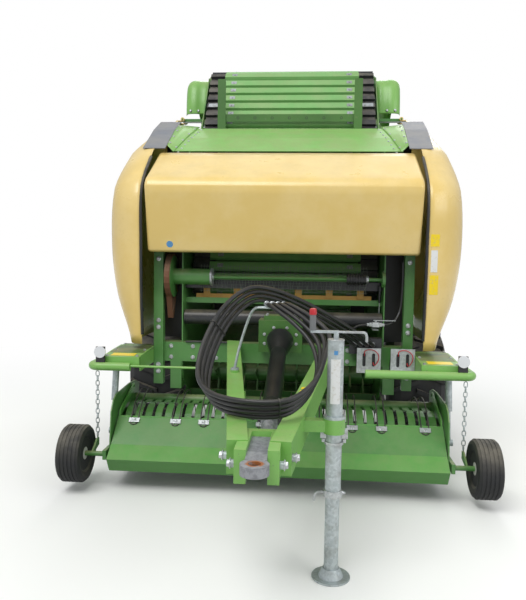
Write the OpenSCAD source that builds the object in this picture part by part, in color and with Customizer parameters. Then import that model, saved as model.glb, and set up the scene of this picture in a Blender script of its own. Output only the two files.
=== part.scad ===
// Round baler with a tined pickup, a belt-and-slat elevator and a swing-up tailgate.
// Millimetres, +Z up, the tow eye points to -Y. Places along the machine are named as
// distances behind the tow eye's centre (s), and side profiles are drawn in (s, z).

/* [Overall] */
// Reach from the tow eye's centre to the back
rear_reach = 4640; // [4500:10:4900]
// Inner face of the chamber walls from the middle
wall_x = 716; // [690:2:730]
// Thickness of the chamber walls
wall_t = 8; // [6:1:10]

/* [Wheels] */
// Axle behind the tow eye
axle_s = 3320; // [3250:10:3400]
// Middle of the transport wheels from the middle of the machine
wheel_x = 1115; // [1100:5:1140]
// Outer radius of the transport tyre
tyre_r = 470; // [450:5:490]
// Width of the transport tyre
tyre_w = 500; // [440:10:520]
// Radius of the rim's bead seat
rim_r = 216; // [200:2:230]
// Radius of the axle spindle
spindle_r = 35; // [30:1:40]
// Radius of the pickup's guide wheel
guide_r = 180; // [165:5:190]
// Width of the pickup's guide wheel
guide_w = 155; // [140:5:160]
// Outer face of the guide wheels from the middle
guide_x = 1375; // [1360:5:1390]

/* [Hitch] */
// Height of the tow eye's centre
eye_z = 715; // [700:5:740]
// Outer radius of the tow eye
eye_r = 58; // [52:1:62]
// Radius of the hole in the tow eye
eye_hole_r = 25; // [22:0.5:26]
// Thickness of the tow eye
eye_t = 42; // [36:1:50]
// Half spread of the drawbar arms at the cross member
arm_spread = 345; // [320:5:370]
// Width of a drawbar arm
arm_w = 90; // [80:2:100]
// Height of a drawbar arm
arm_h = 150; // [130:5:160]

/* [Parking jack] */
// Jack from the middle of the machine
jack_x = 325; // [300:5:350]
// Jack behind the tow eye
jack_s = 572; // [560:2:600]
// Outer radius of the jack's outer tube
jack_r = 38; // [35:1:42]
// Wall of the jack's outer tube
jack_t = 4; // [3:0.5:5]
// Height of the outer tube's top
jack_top = 1148; // [1100:2:1200]
// Radius of the foot plate
foot_r = 92; // [80:2:110]

/* [Pickup] */
// Reel axis behind the tow eye
reel_s = 1940; // [1930:5:1960]
// Height of the reel axis
reel_z = 288; // [284:2:300]
// Radius to the tine tips
tine_r = 245; // [235:1:248]
// Number of tine rows
tine_rows = 5; // [4:1:6]
// Number of tines in a row
tines = 30; // [24:1:32]
// Half width between the pickup's side plates
pickup_x = 1085; // [1070:5:1095]
// Radius of the stripper bands
band_r = 196; // [190:1:200]

/* [Covers] */
// Half width of the hood
hood_x = 930; // [915:5:935]
// Thickness of the hood and the side covers
skin = 6; // [4:0.5:8]
// Inner front edge of a side cover from the middle
cover_in = 966; // [955:1:975]
// Widest place of a side cover from the middle
cover_out = 1250; // [1235:5:1260]

/* [Elevator] */
// Spacing of the slats along the belts
slat_pitch = 90; // [86:1:120]
// Outer edge of the belts from the middle
belt_out = 700; // [690:1:704]
// Width of a belt
belt_w = 125; // [100:5:130]
// Thickness of a belt
belt_t = 12; // [8:1:14]

/* [Hidden] */
$fn = 32;
seat = 0.3;                            // gap left between pieces that rest on each other
run = 0.08;                            // running clearance of a shaft in its bore
y0 = (eye_r - rear_reach) / 2;         // the tow eye's centre in the machine's own frame

green = "#55913f";
bright_green = "#86c052";
dark_green = "#3f6f2c";
cream = "#e3c884";
black = "#2b2c32";
zinc = "#9ba5a6";
rubber = "#2a2a2c";
grey_rubber = "#7b7e85";

// Placing helpers
function at(x, s, z) = [x, y0 + s, z];
function unit(v) = v / norm(v);
function arc(c, r, a, b, n = 8) =
    [for (i = [0:n]) c + r * [cos(a + (b - a) * i / n), sin(a + (b - a) * i / n)]];
// Points of a smooth line through hand-set points, n for each span
function smooth(p, n = 3) = concat([for (i = [0:len(p) - 2]) let (
    a = p[max(0, i - 1)], b = p[i], c = p[i + 1], d = p[min(len(p) - 1, i + 2)])
    for (k = [0:n - 1]) let (t = k / n)
    (2 * b + (c - a) * t + (2 * a - 5 * b + 4 * c - d) * t * t + (3 * b - a - 3 * c + d) * t * t * t) / 2],
    [p[len(p) - 1]]);

// A bent sheet in (s, z): its line of points and the same line one thickness to the left
function heading(p, i) = let (k = max(0, min(i, len(p) - 2))) unit(p[k + 1] - p[k]);
function left_of(d) = [-d.y, d.x];
function mitre(p, i) = let (a = left_of(heading(p, i - 1)), b = left_of(heading(p, i)))
    (a + b) / (1 + a * b);
function bent(p, t) =
    concat(p, [for (i = [len(p) - 1:-1:0]) p[i] + t * mitre(p, i)]);

module side(x, w) translate(at(x, 0, 0)) rotate([90, 0, 90]) linear_extrude(w) children();
module both() { children(); mirror([1, 0, 0]) children(); }
module block(x0, x1, s0, s1, z0, z1)
    translate(at(x0, s0, z0)) cube([x1 - x0, s1 - s0, z1 - z0]);
module shaft(x0, x1, s, z, r) translate(at(x0, s, z)) rotate([0, 90, 0]) cylinder(h = x1 - x0, r = r);
module along_s(x, s0, s1, z, r) translate(at(x, s0, z)) rotate([-90, 0, 0]) cylinder(h = s1 - s0, r = r);
module post(x, s, z0, z1, r) translate(at(x, s, z0)) cylinder(h = z1 - z0, r = r);
module along(p, q) {
    v = q - p;
    translate(p) rotate([0, acos(v.z / norm(v)), atan2(v.y, v.x)]) children();
}
module rod(p, q, r) along(p, q) cylinder(h = norm(q - p), r = r);
module bar(p, q, w, h) along(p, q) linear_extrude(norm(q - p)) square([h, w], center = true);

// Places shared by several pieces
member_s = [2080, 2180];               // front cross member
member_z = [760, 900];
post_x = [850, 918];
post_s = [2040, 2100];
post_top = 2140;
axle_z = tyre_r;
axle_half = 60;
rail_z = [axle_z + axle_half + 30, axle_z + axle_half + 150];
rail_w = 80;
wall_out = wall_x + wall_t;
part_s = 3335;                         // parting line between the front walls and the tailgate
defl = [[2320, 2300], [2560, 2440], [2800, 2560]];
loop_r = 90;
turn_step = 22;                         // angle of a belt's facets round a roller, at most
front_rollers = [[2480, 1330], [2975, 2590], [3255, 3015]];
rear_rollers = [[(3340 + rear_reach - 380) / 2, 2800], [rear_reach - 380, 2500], [rear_reach - 220, 1950],
    [rear_reach - 290, 1350], [(3560 + rear_reach - 200) / 2, 960], [3560, 1000]];
rotor_c = [2620, 590];
rotor_r = 230;
rotor_shaft = 40;
starter_c = [2150, 1080];
starter_r = 54;
starter_shaft = 20;
net_c = [2118, 1374];
net_hub_r = 58;
pick_pivot = [2330, 470];
pick_pin = 15;
pick_arm = [wall_out + 5, wall_out + 17];   // inner and outer face of a pickup arm
gate_pivot = [3340, 2760];
gate_pin = 20;
gate_pins = [[3060, 1250], [3560, 2560]];
cyl_pin = 15;
gate_cyl_x = 800;
cover_pivot = [935, 2700];             // x and height of a side cover's hinge line
cover_pin = 8;
hood_pivot = [2200, 2220];
hood_pin = 8;
wall_line = concat([[2090, 760], [2110, 640], [2250, 540], [2290, 430], [2400, 360], [2500, 310],
    [2780, 310], [2920, rail_z[0]], [part_s, rail_z[0]], [part_s, 2690], [3385, 2720], [3385, 2800], [3345, 2830],
    [3330, 3040], [3255, 3085], [3170, 3070], [2830, 2600]],
    [for (i = [2:-1:0]) defl[i] - [0, seat]],
    [[2290, 2230], [2246, 2190], [2224, 2216], arc(hood_pivot, 24, 0, 180, 6)[2],
     arc(hood_pivot, 24, 0, 180, 6)[4], hood_pivot - [24, 0], hood_pivot - [24, 50], [2090, 2100]]);

// Sprockets under both belts and the shaft that joins them, for each roller of a loop
module loop_rollers(c, x) for (q = c) {
    both() shaft(belt_out - belt_w, x + 1, q.x, q.y, loop_r * cos(turn_step / 2) - seat);
    shaft(-x - 1, x + 1, q.x, q.y, 30);
}

// Main frame: chamber walls, posts, cross members, side rails and the floor under the rotor
module frame() {
    color(green) {
        both() {
            difference() {
                union() {
                    side(wall_x, wall_t) polygon(wall_line);
                    block(wall_out - 1, wall_out + rail_w, member_s[1] - 20, part_s + 60, rail_z[0], rail_z[1]);
                }
                shaft(wall_x - 1, wall_out + 1, net_c.x, net_c.y, net_hub_r + seat);
                shaft(wall_x - 1, wall_out + 1, starter_c.x, starter_c.y, starter_shaft + run);
                shaft(wall_x - 1, wall_out + 10, rotor_c.x, rotor_c.y, rotor_shaft + run);
            }
            block(post_x[0], post_x[1], post_s[0], post_s[1], 600, post_top);
            block(wall_out - 1, wall_out + rail_w, member_s[0], member_s[1], rail_z[0], member_z[1]);
            block(wall_out - 1, post_x[1], post_s[1] - 20, 2200, post_top - 60, post_top);
            shaft(wall_out - 1, pick_arm[1] + 6, pick_pivot.x, pick_pivot.y, pick_pin);
            shaft(wall_out - 1, gate_x + gate_t + 6, gate_pivot.x, gate_pivot.y, gate_pin);
            shaft(wall_out + seat, gate_cyl_x + 44, gate_pins[0].x, gate_pins[0].y, cyl_pin);
            shaft(wall_out - 1, hood_x - 15, hood_pivot.x, hood_pivot.y, 16);
            shaft(hood_x - 16, hood_x + 2, hood_pivot.x, hood_pivot.y, hood_pin);
            block(wall_out - 1, cover_pivot.x + 10, 3120, 3180, cover_pivot.y - 12, cover_pivot.y + 12);
            along_s(cover_pivot.x, 3066, 3234, cover_pivot.y, cover_pin);
        }
        block(-post_x[1], post_x[1], member_s[0], member_s[1], member_z[0], member_z[1]);
        block(-wall_x - 1, wall_x + 1, 2200, 2260, 1180, 1220);
        block(-wall_x - 1, wall_x + 1, 2290, 2350, 2120, 2180);
        shaft(-wall_x - 1, wall_x + 1, 3300, 2500, 40);
        loop_rollers(front_rollers, wall_x);
        side(-wall_x - 1, 2 * wall_x + 2) polygon(bent(arc(rotor_c, rotor_r + 40, 200, 330, 8), 8));
    }
}

// Axle with its brackets and stub spindles, and the transport wheels
spindle_from = 830;
hub_out = 1080;
module axle() {
    color(green) {
        block(-spindle_from, spindle_from, axle_s - axle_half, axle_s + axle_half,
            axle_z - axle_half, axle_z + axle_half);
        both() {
            block(wall_out, wall_out + rail_w, axle_s - 110, part_s + 60, axle_z + axle_half - 1,
                rail_z[0] - seat);
            shaft(spindle_from - 1, hub_out, axle_s, axle_z, spindle_r);
        }
    }
}

lug_h = 26;
lugs = 18;                             // lugs on each half of the tread
module tyre(sign) color(rubber) translate(at(sign * wheel_x, axle_s, axle_z)) rotate([0, 90 * sign, 0]) {
    base = tyre_r - lug_h;
    rotate_extrude($fn = 72) polygon([
        [rim_r + seat, -tyre_w / 2 + 60], [rim_r + 25, -tyre_w / 2 + 35],
        [rim_r + 90, -tyre_w / 2 + 6], [rim_r + 140, -tyre_w / 2],
        [base - 50, -tyre_w / 2 + 15], [base - 8, -tyre_w / 2 + 60], [base, -tyre_w / 2 + 110],
        [base, tyre_w / 2 - 110], [base - 8, tyre_w / 2 - 60], [base - 50, tyre_w / 2 - 15],
        [rim_r + 140, tyre_w / 2], [rim_r + 90, tyre_w / 2 - 6],
        [rim_r + 25, tyre_w / 2 - 35], [rim_r + seat, tyre_w / 2 - 60]]);
    intersection() {
        cylinder(h = tyre_w, r = tyre_r, center = true, $fn = 72);
        for (m = [-1, 1]) for (i = [0:lugs - 1]) rotate(360 / lugs * (i + m / 4))
            translate([base - 80, 0, 0]) rotate([0, 90, 0]) linear_extrude(lug_h + 90)
                polygon([for (q = [[-12, -15], [199, 66], [213, 104], [-12, 21]]) [m * q.x, q.y]]);
    }
}

// A rim with its flanges, dished disc and bored hub; the disc lies outboard of the middle
module rim(sign) color("#d8d8d4") translate(at(sign * wheel_x, axle_s, axle_z))
    rotate([0, 90 * sign, 0]) difference() {
        rotate_extrude($fn = 72) polygon([
            [spindle_r + run, -225], [75, -225], [75, 40], [110, 60], [rim_r - 40, 60],
            [rim_r - 8, 20], [rim_r - 8, -tyre_w / 2 + 40], [rim_r + 14, -tyre_w / 2 + 34],
            [rim_r + 14, -tyre_w / 2 + 42], [rim_r, -tyre_w / 2 + 60],
            [rim_r, tyre_w / 2 - 60], [rim_r + 14, tyre_w / 2 - 42],
            [rim_r + 14, tyre_w / 2 - 34], [rim_r - 8, tyre_w / 2 - 40], [rim_r - 8, 60],
            [rim_r - 40, 76], [110, 76], [75, 66], [70, 96], [spindle_r + run, 96]]);
        for (a = [0:60:300]) rotate(a) translate([140, 0, 50]) cylinder(h = 40, r = 16);
    }

// Drawbar: two arms that meet in a nose with a clamp plate, and the forged tow eye
nose_s = 210;
nose_x = 92;
nose_z = 690;
nose_plate = 48;
nose_half = 70;
arm_rear_z = 845;
arm_slope = (arm_spread - nose_x) / (member_s[0] - nose_s);
function arm_x(s) = nose_x + arm_slope * (s - nose_s);
function arm_z(s) = nose_z + (arm_rear_z - nose_z) * (s - nose_s) / (member_s[0] - nose_s);
function arm_side(s, sign) = arm_x(s) + sign * arm_w / 2 * sqrt(1 + arm_slope * arm_slope);
collar_z = [705, 775];                 // collar that holds the parking jack
collar_r = 52;
holder_s = 1250;
holder_z = 864;
rest_s = 1110;                         // the drive shaft's guard rests on a cross strap here
module drawbar() {
    color(bright_green) {
        both() {
            difference() {
                bar(at(nose_x, nose_s, nose_z), at(arm_x(2300), 2300, arm_z(2300)), arm_w, arm_h);
                block(0, 600, member_s[0] - seat, member_s[0] + 400, 500, 1100);
            }
            block(nose_x - nose_plate, nose_x, 90, nose_s + 150, nose_z - nose_half, nose_z + nose_half);
            block(arm_side(rest_s, -1) - 14, arm_side(rest_s, -1) + 6, rest_s, rest_s + 30,
                guard_low(rest_s) - 14, arm_z(rest_s));
        }
        block(-arm_side(nose_s + 150, -1) - 4, arm_side(nose_s + 150, -1) + 4, nose_s + 150, nose_s + 190,
            nose_z - nose_half, nose_z + nose_half);
        block(-arm_side(rest_s, -1), arm_side(rest_s, -1), rest_s, rest_s + 30,
            guard_low(rest_s) - 14, guard_low(rest_s) - seat);
    }
    color(zinc) both() {
        shaft(nose_x - 1, nose_x + 18, 130, nose_z, 17);
        shaft(nose_x - 1, nose_x + arm_w / 2 + 18, nose_s + 20, nose_z, 17);
    }
    color(bright_green) {
        difference() {
            union() {
                post(jack_x, jack_s, collar_z[0], collar_z[1], collar_r);
                block(arm_side(jack_s, 1) - 20, jack_x, jack_s - 30, jack_s + 30, collar_z[0] + 8, collar_z[1] - 8);
            }
            post(jack_x, jack_s, collar_z[0] - 1, collar_z[1] + 1, jack_r + seat);
        }
        post(-arm_x(holder_s), holder_s, arm_z(holder_s), holder_z, 26);
    }
}

module tow_eye() color("#6f7078") difference() {
    union() {
        translate(at(0, 0, eye_z - eye_t / 2)) cylinder(h = eye_t, r = eye_r);
        block(seat + nose_plate - nose_x, nose_x - nose_plate - seat, 45, nose_s + 150 - seat,
            nose_z - 20, eye_z + eye_t / 2);
    }
    translate(at(0, 0, eye_z - eye_t)) cylinder(h = 2 * eye_t, r = eye_hole_r);
}

// Gearbox as one plain block, the drive shaft's guard and the shaft with its yoke
box_x = 150;
box_s = 1905;
box_z = [870, 1090];
drive_top = at(0, 1902, 962);
drive_low = at(0, 930, 690);
drive_dir = unit(drive_low - drive_top);
drive_len = norm(drive_low - drive_top);
drive_slope = drive_dir.z / drive_dir.y;
guard_r = 52;
drive_r = 24;
yoke_len = 115;
guard_from = 28;
function guard_low(s) = drive_low.z + drive_slope * (s - (drive_low.y - y0)) - guard_r / -drive_dir.y;
module on_drive(d) along(drive_top + d * drive_dir, drive_low + (d + 1) * drive_dir) children();
module gearbox() color(green) {
    block(-box_x, box_x, box_s, member_s[0] - seat, box_z[0], box_z[1]);
    block(-115, 115, box_s + 20, member_s[0] - 20, box_z[1] - 1, box_z[1] + 30);
    on_drive(-8) cylinder(h = 68, r = drive_r - seat);
}
module shaft_guard() color(black) difference() {
    union() {
        on_drive(guard_from + 100) cylinder(h = drive_len - guard_from - 100, r = guard_r);
        on_drive(guard_from) cylinder(h = 200, r1 = 92, r2 = guard_r);
        on_drive(drive_len - 110) cylinder(h = 110, r1 = guard_r, r2 = 78);
    }
    on_drive(0) cylinder(h = drive_len + 10, r = drive_r);
}
module shaft_yoke() color("#55585c") difference() {
    union() {
        on_drive(drive_len - 600) cylinder(h = 603, r = drive_r - run);
        on_drive(drive_len + 2) cylinder(h = 40, r = 42);
        on_drive(drive_len + 41) linear_extrude(yoke_len - 40) difference() {
            square([80, 84], center = true);
            square([84, 40], center = true);
        }
        on_drive(drive_len + yoke_len) cylinder(h = 60, r = 36);
    }
    on_drive(drive_len + yoke_len - 2) cylinder(h = 90, r = 17.5);
}

// Net-wrap gear under the hood: brake drum with its strap, hub, thin shaft and the tab bar
drum_x = [785, 830];
drum_r = 150;
module net_wrap() {
    color(green) {
        shaft(-drum_x[0] - 1, -520, net_c.x, net_c.y, net_hub_r);
        shaft(-520.1, 460, net_c.x, net_c.y, 14);
        shaft(590, wall_out, net_c.x, net_c.y, 14);
        shaft(wall_x - 14, wall_out, net_c.x, net_c.y, net_hub_r);
        shaft(-drum_x[1], -drum_x[0], net_c.x, net_c.y, drum_r);
        shaft(-post_x[0] + seat, -drum_x[1] + 1, net_c.x, net_c.y, net_hub_r);
        block(-640, 640, 2200, 2208, 1220 + seat, 1250);
        for (x = [-560:224:560]) block(x - 25, x + 25, 2192, 2200.1, 1230, 1344);
        block(-wall_x + seat, wall_x - seat, 2186, 2192.1, 1290, 1350);
    }
    color(black) shaft(455, 591, net_c.x, net_c.y, 34);
    color("#8a5a3a") side(-drum_x[1] + 4, drum_x[1] - drum_x[0] - 8) difference() {
        polygon(concat(arc(net_c, drum_r + 14, -60, 240, 20), [net_c - [30, 300], net_c - [0, 300]]));
        polygon(concat(arc(net_c, drum_r - 1, -60, 240, 20), [net_c - [22, 260], net_c - [8, 260]]));
    }
}
module starter_roller() color(black) {
    shaft(-wall_x + 6, wall_x - 6, starter_c.x, starter_c.y, starter_r);
    shaft(-wall_out - 8, wall_out + 8, starter_c.x, starter_c.y, starter_shaft);
}

// Feed rotor with star plates
module feed_rotor() color(green) {
    shaft(-wall_x + 5, wall_x - 5, rotor_c.x, rotor_c.y, 70);
    shaft(-wall_out - 8, wall_out + 8, rotor_c.x, rotor_c.y, rotor_shaft);
    for (i = [-6:6]) side(i * 104 - 6, 12) translate(rotor_c) rotate(i * 24) polygon([
        for (k = [0:4]) each [64 * [cos(72 * k - 30), sin(72 * k - 30)],
            rotor_r * [cos(72 * k), sin(72 * k)]]]);
}

// Deflector plate behind the hood, with the two flat bars that stand on its back edge
bar_x = [520, 585];
bar_top = 2960;
module deflector() {
    color(bright_green) difference() {
        side(-860, 1720) polygon(bent(defl, 5));
        both() translate(at(0, 0, 2000)) linear_extrude(900)
            polygon([[860, 2300], [900, 2300], [900, 2830], [760, 2830]]);
    }
    color(dark_green) both() block(bar_x[0], bar_x[1], defl[2].x - 6, defl[2].x + 2, 2555, bar_top);
}

// Belts and slats: each loop is a line round equal rollers, walked at the slats' spacing
// Corner angles of a loop that runs round its rollers with the centres on its right or left
function loop_points(c, r) = let (n = len(c)) [for (i = [0:n - 1])
    let (a = unit(c[i] - c[(i + n - 1) % n]), b = unit(c[(i + 1) % n] - c[i]),
        h = atan2(a.y, a.x) + 90, turn_by = atan2(a.x * b.y - a.y * b.x, a * b),
        k = max(1, ceil(abs(turn_by) / turn_step)))
    for (j = [0:k]) c[i] + r * [cos(h + turn_by * j / k), sin(h + turn_by * j / k)]];
function lengths(p) = [for (i = 0, d = 0; i <= len(p);
    d = i < len(p) ? d + norm(p[(i + 1) % len(p)] - p[i]) : d, i = i + 1) d];
function spot(p, d, l) = let (k = [for (i = [0:len(p) - 1]) if (l[i] <= d) i],
    i = k[len(k) - 1], v = unit(p[(i + 1) % len(p)] - p[i]))
    [p[i] + (d - l[i]) * v, atan2(v.y, v.x)];

module belt_pair(c) {
    p = loop_points(c, loop_r);
    l = lengths(p);
    count = floor(l[len(p)] / slat_pitch);
    both() side(belt_out - belt_w, belt_w) {
        difference() {
            polygon(loop_points(c, loop_r + belt_t));
            polygon(p);
        }
        for (i = [0:count - 1]) let (q = spot(p, i * slat_pitch, l))
            translate(q[0]) rotate(q[1]) translate([-20, belt_t / 2]) square([40, belt_t / 2 + 26]);
    }
}
module slats(c) {
    p = loop_points(c, loop_r);
    l = lengths(p);
    count = floor(l[len(p)] / slat_pitch);
    x = belt_out - belt_w - seat;
    for (i = [0:count - 1]) let (q = spot(p, i * slat_pitch, l))
        side(-x, 2 * x) translate(q[0]) rotate(q[1]) translate([0, belt_t])
            polygon([[-38, 0], [-34, 0], [-27, 20], [27, 20], [34, 0], [38, 0], [30, 26], [-30, 26]]);
}
module front_belts() color(black) belt_pair(front_rollers);
module front_slats() color(green) slats(front_rollers);
module rear_belts() color(black) belt_pair(rear_rollers);
module rear_slats() color(green) slats(rear_rollers);

// Platforms beside the posts, with the ears of the lift cylinders
plat_z = 845;
plat_s = 1665;
plat_out = 1170;
sheet_t = 6;
lift_cyl_x = 1125;
lift_pins = [[1830, 775], [1745, 330]];
lift_r = 22;
ear_gap = lift_r + 1.5;
module platforms() color(bright_green) both() {
    side(post_x[1] + seat, plat_out - post_x[1]) polygon(bent([[plat_s, plat_z - 60], [plat_s, plat_z],
        [1900, plat_z + 14], [post_s[0] + 40, plat_z + 20]], sheet_t));
    block(post_x[1] + seat, post_x[1] + 8, plat_s + 25, post_s[0] + 40, plat_z - 90, plat_z + 10);
    for (x = [lift_cyl_x - ear_gap - sheet_t, lift_cyl_x + ear_gap]) side(x, sheet_t)
        polygon([for (q = [[-50, 80], [-30, 0], [-14, -20], [14, -20], [30, 0], [50, 80]]) lift_pins[0] + q]);
    shaft(lift_cyl_x - ear_gap - 1, lift_cyl_x + ear_gap + 1, lift_pins[0].x, lift_pins[0].y, 8);
}

// Guard tubes bent round the platforms' front corners, and the reflectors on them
tube_r = 28;
tube_s = plat_s - sheet_t - seat - tube_r;
tube_z = 790;
tube_end = 1235;
tube_bend = 50;
module guard_tubes() color(bright_green) {
    shaft(560, tube_end - tube_bend, tube_s, tube_z, tube_r);
    shaft(-tube_end + tube_bend, -970, tube_s, tube_z, tube_r);
    shaft(-971, -480, tube_s, tube_z + 6, 8);
    both() {
        translate(at(tube_end - tube_bend, tube_s + tube_bend, tube_z)) rotate(-90)
            rotate_extrude(angle = 90) translate([tube_bend, 0]) circle(tube_r);
        translate(at(tube_end, tube_s + tube_bend, tube_z)) rotate([-90, 0, 0])
            cylinder(h = 130, r = tube_r);
    }
}
module reflectors() both() {
    color(black) block(1140, 1198, tube_s - 10, tube_s + 10, tube_z + tube_r + seat, tube_z + 130);
    color("#e8eaec") translate(at(1169, tube_s - 9, tube_z + 96)) rotate([90, 0, 0])
        cylinder(h = 10, r = 38);
}

// Wheel chocks on their holders
chock_w = 150;
module wheel_chocks() for (x = [606, 834]) {
    color("#dde0e4") difference() {
        block(x - chock_w / 2 - 6, x + chock_w / 2 + 6, 1905, 1915.1, 745, 915);
        for (dx = [-32, 32]) {
            block(x + dx - 11, x + dx + 11, 1900, 1916, 800, 870);
            for (z = [800, 870]) along_s(x + dx, 1900, 1916, z, 11);
        }
    }
    color(black) side(x - chock_w / 2, chock_w)
        polygon([[1915, 750], [2029, 750], [2000, 820], [1915, 900]]);
    color(green) block(x - 60, x, 2020, member_s[0] - seat, 764, 800);
}

// Hose holder on the left arm, with a level bar the hoses lie over, and the valve block
hook_s = 1150;
hook_z = 1241;
hook_r = 8;
module hose_holder() color(zinc) {
    tube(smooth([for (q = [[-arm_x(holder_s), holder_s, holder_z + 8], [-205, 1240, 1000],
        [-150, 1200, 1170], [-115, 1162, 1230], [-80, hook_s, hook_z], [0, hook_s, hook_z],
        [80, hook_s, hook_z]]) at(q.x, q.y, q.z)]), hook_r, 12);
    post(-arm_x(holder_s), holder_s, holder_z + seat, holder_z + 12, 24);
}
valve_s = 2000;
module valve_block() color("#3a3c40") block(480, 700, valve_s, member_s[0] - seat, 860, 970);

// Hydraulic hoses: hand-set points (x, s, z)
hose_r = 12;
hose_step = 31;                        // hoses side by side over the holder
port_step = 42;                        // ports side by side on the valve block
hose_route = [[510, valve_s - seat, 930], [510, 1965, 930], [510, 1925, 930], [500, 1860, 942],
    [444, 1770, 990], [345, 1665, 1055], [230, 1545, 1130], [105, 1420, 1205], [-20, 1300, 1262],
    [-130, 1160, 1270], [-232, 1010, 1172], [-295, 850, 1010], [-298, 700, 868], [-220, 545, 814],
    [-60, 432, 806], [100, 440, 818], [200, 560, 882], [242, 710, 975], [212, 835, 1085],
    [115, 930, 1180], [0, 1040, 1250], [-40, hook_s, hook_z + hook_r + hose_r + 0.7]];
function fan(i) = let (n = len(hose_route)) [for (k = [0:n - 1])
    let (q = hose_route[k], a = (1 - cos(30 * min(6, max(0, k - 2)))) / 2,
        b = min(1, (n - 1 - k) / 4), w = min(a, b))
    at(q.x * (1 + 0.05 * i * w) + (k < n / 2 ? port_step * (1 - a) : hose_step * sqrt(1 - b * b)) * i,
        q.y - 14 * i * w * a, q.z + 26 * i * w)];

module tube(p, r, sides = 8) {
    n = len(p);
    d = [for (i = [0:n - 1]) unit(p[min(n - 1, i + 1)] - p[max(0, i - 1)])];
    u = [for (i = 0, v = unit(cross(d[0], [0, 0, 1])); i < n;
        i = i + 1, v = i < n ? unit(v - (v * d[i]) * d[i]) : v) v];
    polyhedron(
        points = [for (i = [0:n - 1]) for (k = [0:sides - 1]) let (a = 360 * k / sides)
            p[i] + r * (cos(a) * u[i] + sin(a) * cross(d[i], u[i]))],
        faces = concat([[for (k = [sides - 1:-1:0]) k]], [[for (k = [0:sides - 1]) (n - 1) * sides + k]],
            [for (i = [0:n - 2]) for (k = [0:sides - 1]) let (m = (k + 1) % sides)
                each [[i * sides + k, i * sides + m, (i + 1) * sides + m],
                    [i * sides + k, (i + 1) * sides + m, (i + 1) * sides + k]]]));
}
module hose(i) color("#3a3a3e") tube(smooth(fan(i)), hose_r);

// Parking jack: outer tube that hangs in the drawbar's collar, crank and sliding leg
jack_low = 400;
leg_top = 770;
module jack_tube() color(zinc) difference() {
    union() {
        post(jack_x, jack_s, jack_low, jack_top, jack_r);
        post(jack_x, jack_s, collar_z[1] + seat, collar_z[1] + 12, collar_r);
    }
    post(jack_x, jack_s, jack_low - 1, jack_top - 8, jack_r - jack_t);
}
module jack_crank() {
    color(zinc) {
        post(jack_x, jack_s, jack_top + seat, jack_top + 30, 12);
        block(jack_x - 120, jack_x + 10, jack_s - 8, jack_s + 8, jack_top + 30, jack_top + 42);
    }
    color("#d8293a") post(jack_x - 110, jack_s, jack_top + 42, jack_top + 140, 15);
}
module jack_leg() color(zinc) difference() {
    union() {
        post(jack_x, jack_s, 8 - 1, leg_top, jack_r - jack_t - run);
        post(jack_x, jack_s, 0, 8, foot_r);
        translate(at(jack_x, jack_s, 8)) cylinder(h = 40, r1 = 60, r2 = 40);
    }
    post(jack_x, jack_s, 60, leg_top + 1, jack_r - jack_t - 5);
}

// Hood: a folded shell, open at the back, with cut corners at the top
hood_low = [1890, 1548];
hood_kink = [1792, 2005];
hood_top = [2222, 2275];
hood_line = concat(arc(hood_low + [24, 24], 24, 280, 188, 8),
    arc(hood_kink + [106, -34], 100, 170, 122, 10), [hood_top]);
module hood_solid(x, t, past) side(-x, 2 * x) polygon(concat([hood_low + [100 + past, t]],
    [for (i = [0:len(hood_line) - 1]) hood_line[i] - t * mitre(hood_line, i)],
    [hood_top + [20 + past, past == 0 ? -80 : 0]]));
module hood() color(cream) difference() {
    hood_solid(hood_x, 0, 0);
    hood_solid(hood_x - skin, skin, 300);
    both() shaft(hood_x - skin - 1, hood_x + 1, hood_pivot.x, hood_pivot.y, hood_pin + run);
}

// Side covers: one lofted skin from level sections with an elliptical front corner
// columns: height, front edge, widest place, depth of the corner
cover_rear = 3272;
cover_levels = [[905, 1900, 1062, 90], [1250, 1868, 1190, 230], [1600, 1856, cover_out, 320],
    [2000, 1880, cover_out - 12, 330], [2290, 2200, 1195, 300], [2500, 2603, 1130, 260],
    [2620, 2889, 1070, 200], [2690, 3062, 1010, 120]];
module cover_section(v, t) translate(at(0, 0, v[0])) linear_extrude(0.01) let (x0 = cover_in - 16,
    s1 = v[1] + v[3], x1 = max(v[2], x0 + 30)) polygon(concat(
    [[x0, cover_rear - t], [x0, v[1] + t]],
    [for (a = [0:10:90]) [cover_in + (x1 - t - cover_in) * sin(a), s1 - (v[3] - t) * cos(a)]],
    [[x1 - t, cover_rear - t]]));
module cover_body(t, down) hull() for (v = cover_levels)
    translate([0, 0, v[0] == cover_levels[0][0] ? -down : -t]) cover_section(v, t);
module cover(sign) color(cream) mirror([sign < 0 ? 1 : 0, 0, 0]) {
    difference() {
        cover_body(0, 0);
        translate([-skin / 2, 0, 0]) cover_body(skin, 40);
        block(800, cover_in, 1800, 3400, 800, 2800);
        shaft(700, 1400, axle_s, axle_z, tyre_r + 95);
    }
    for (s = [3072, 3190]) difference() {
        union() {
            along_s(cover_pivot.x, s, s + 38, cover_pivot.y, 16);
            block(cover_pivot.x, cover_in + 14, s, s + 38, cover_pivot.y - 20, cover_pivot.y - 10);
        }
        along_s(cover_pivot.x, s - 1, s + 39, cover_pivot.y, cover_pin + run);
    }
}
flap_line = [[2230, 2305.7 + seat], [2640, 2520 + seat], [2950, 2645.5 + seat]];
module flap(sign) color(grey_rubber) mirror([sign < 0 ? 1 : 0, 0, 0]) intersection() {
    side(870, 240) polygon(bent(flap_line, 5));
    translate(at(0, 0, 2200)) linear_extrude(600)
        polygon([[884, 2200], [1050, 2200], [1096, 3000], [920, 3000]]);
}

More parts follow.
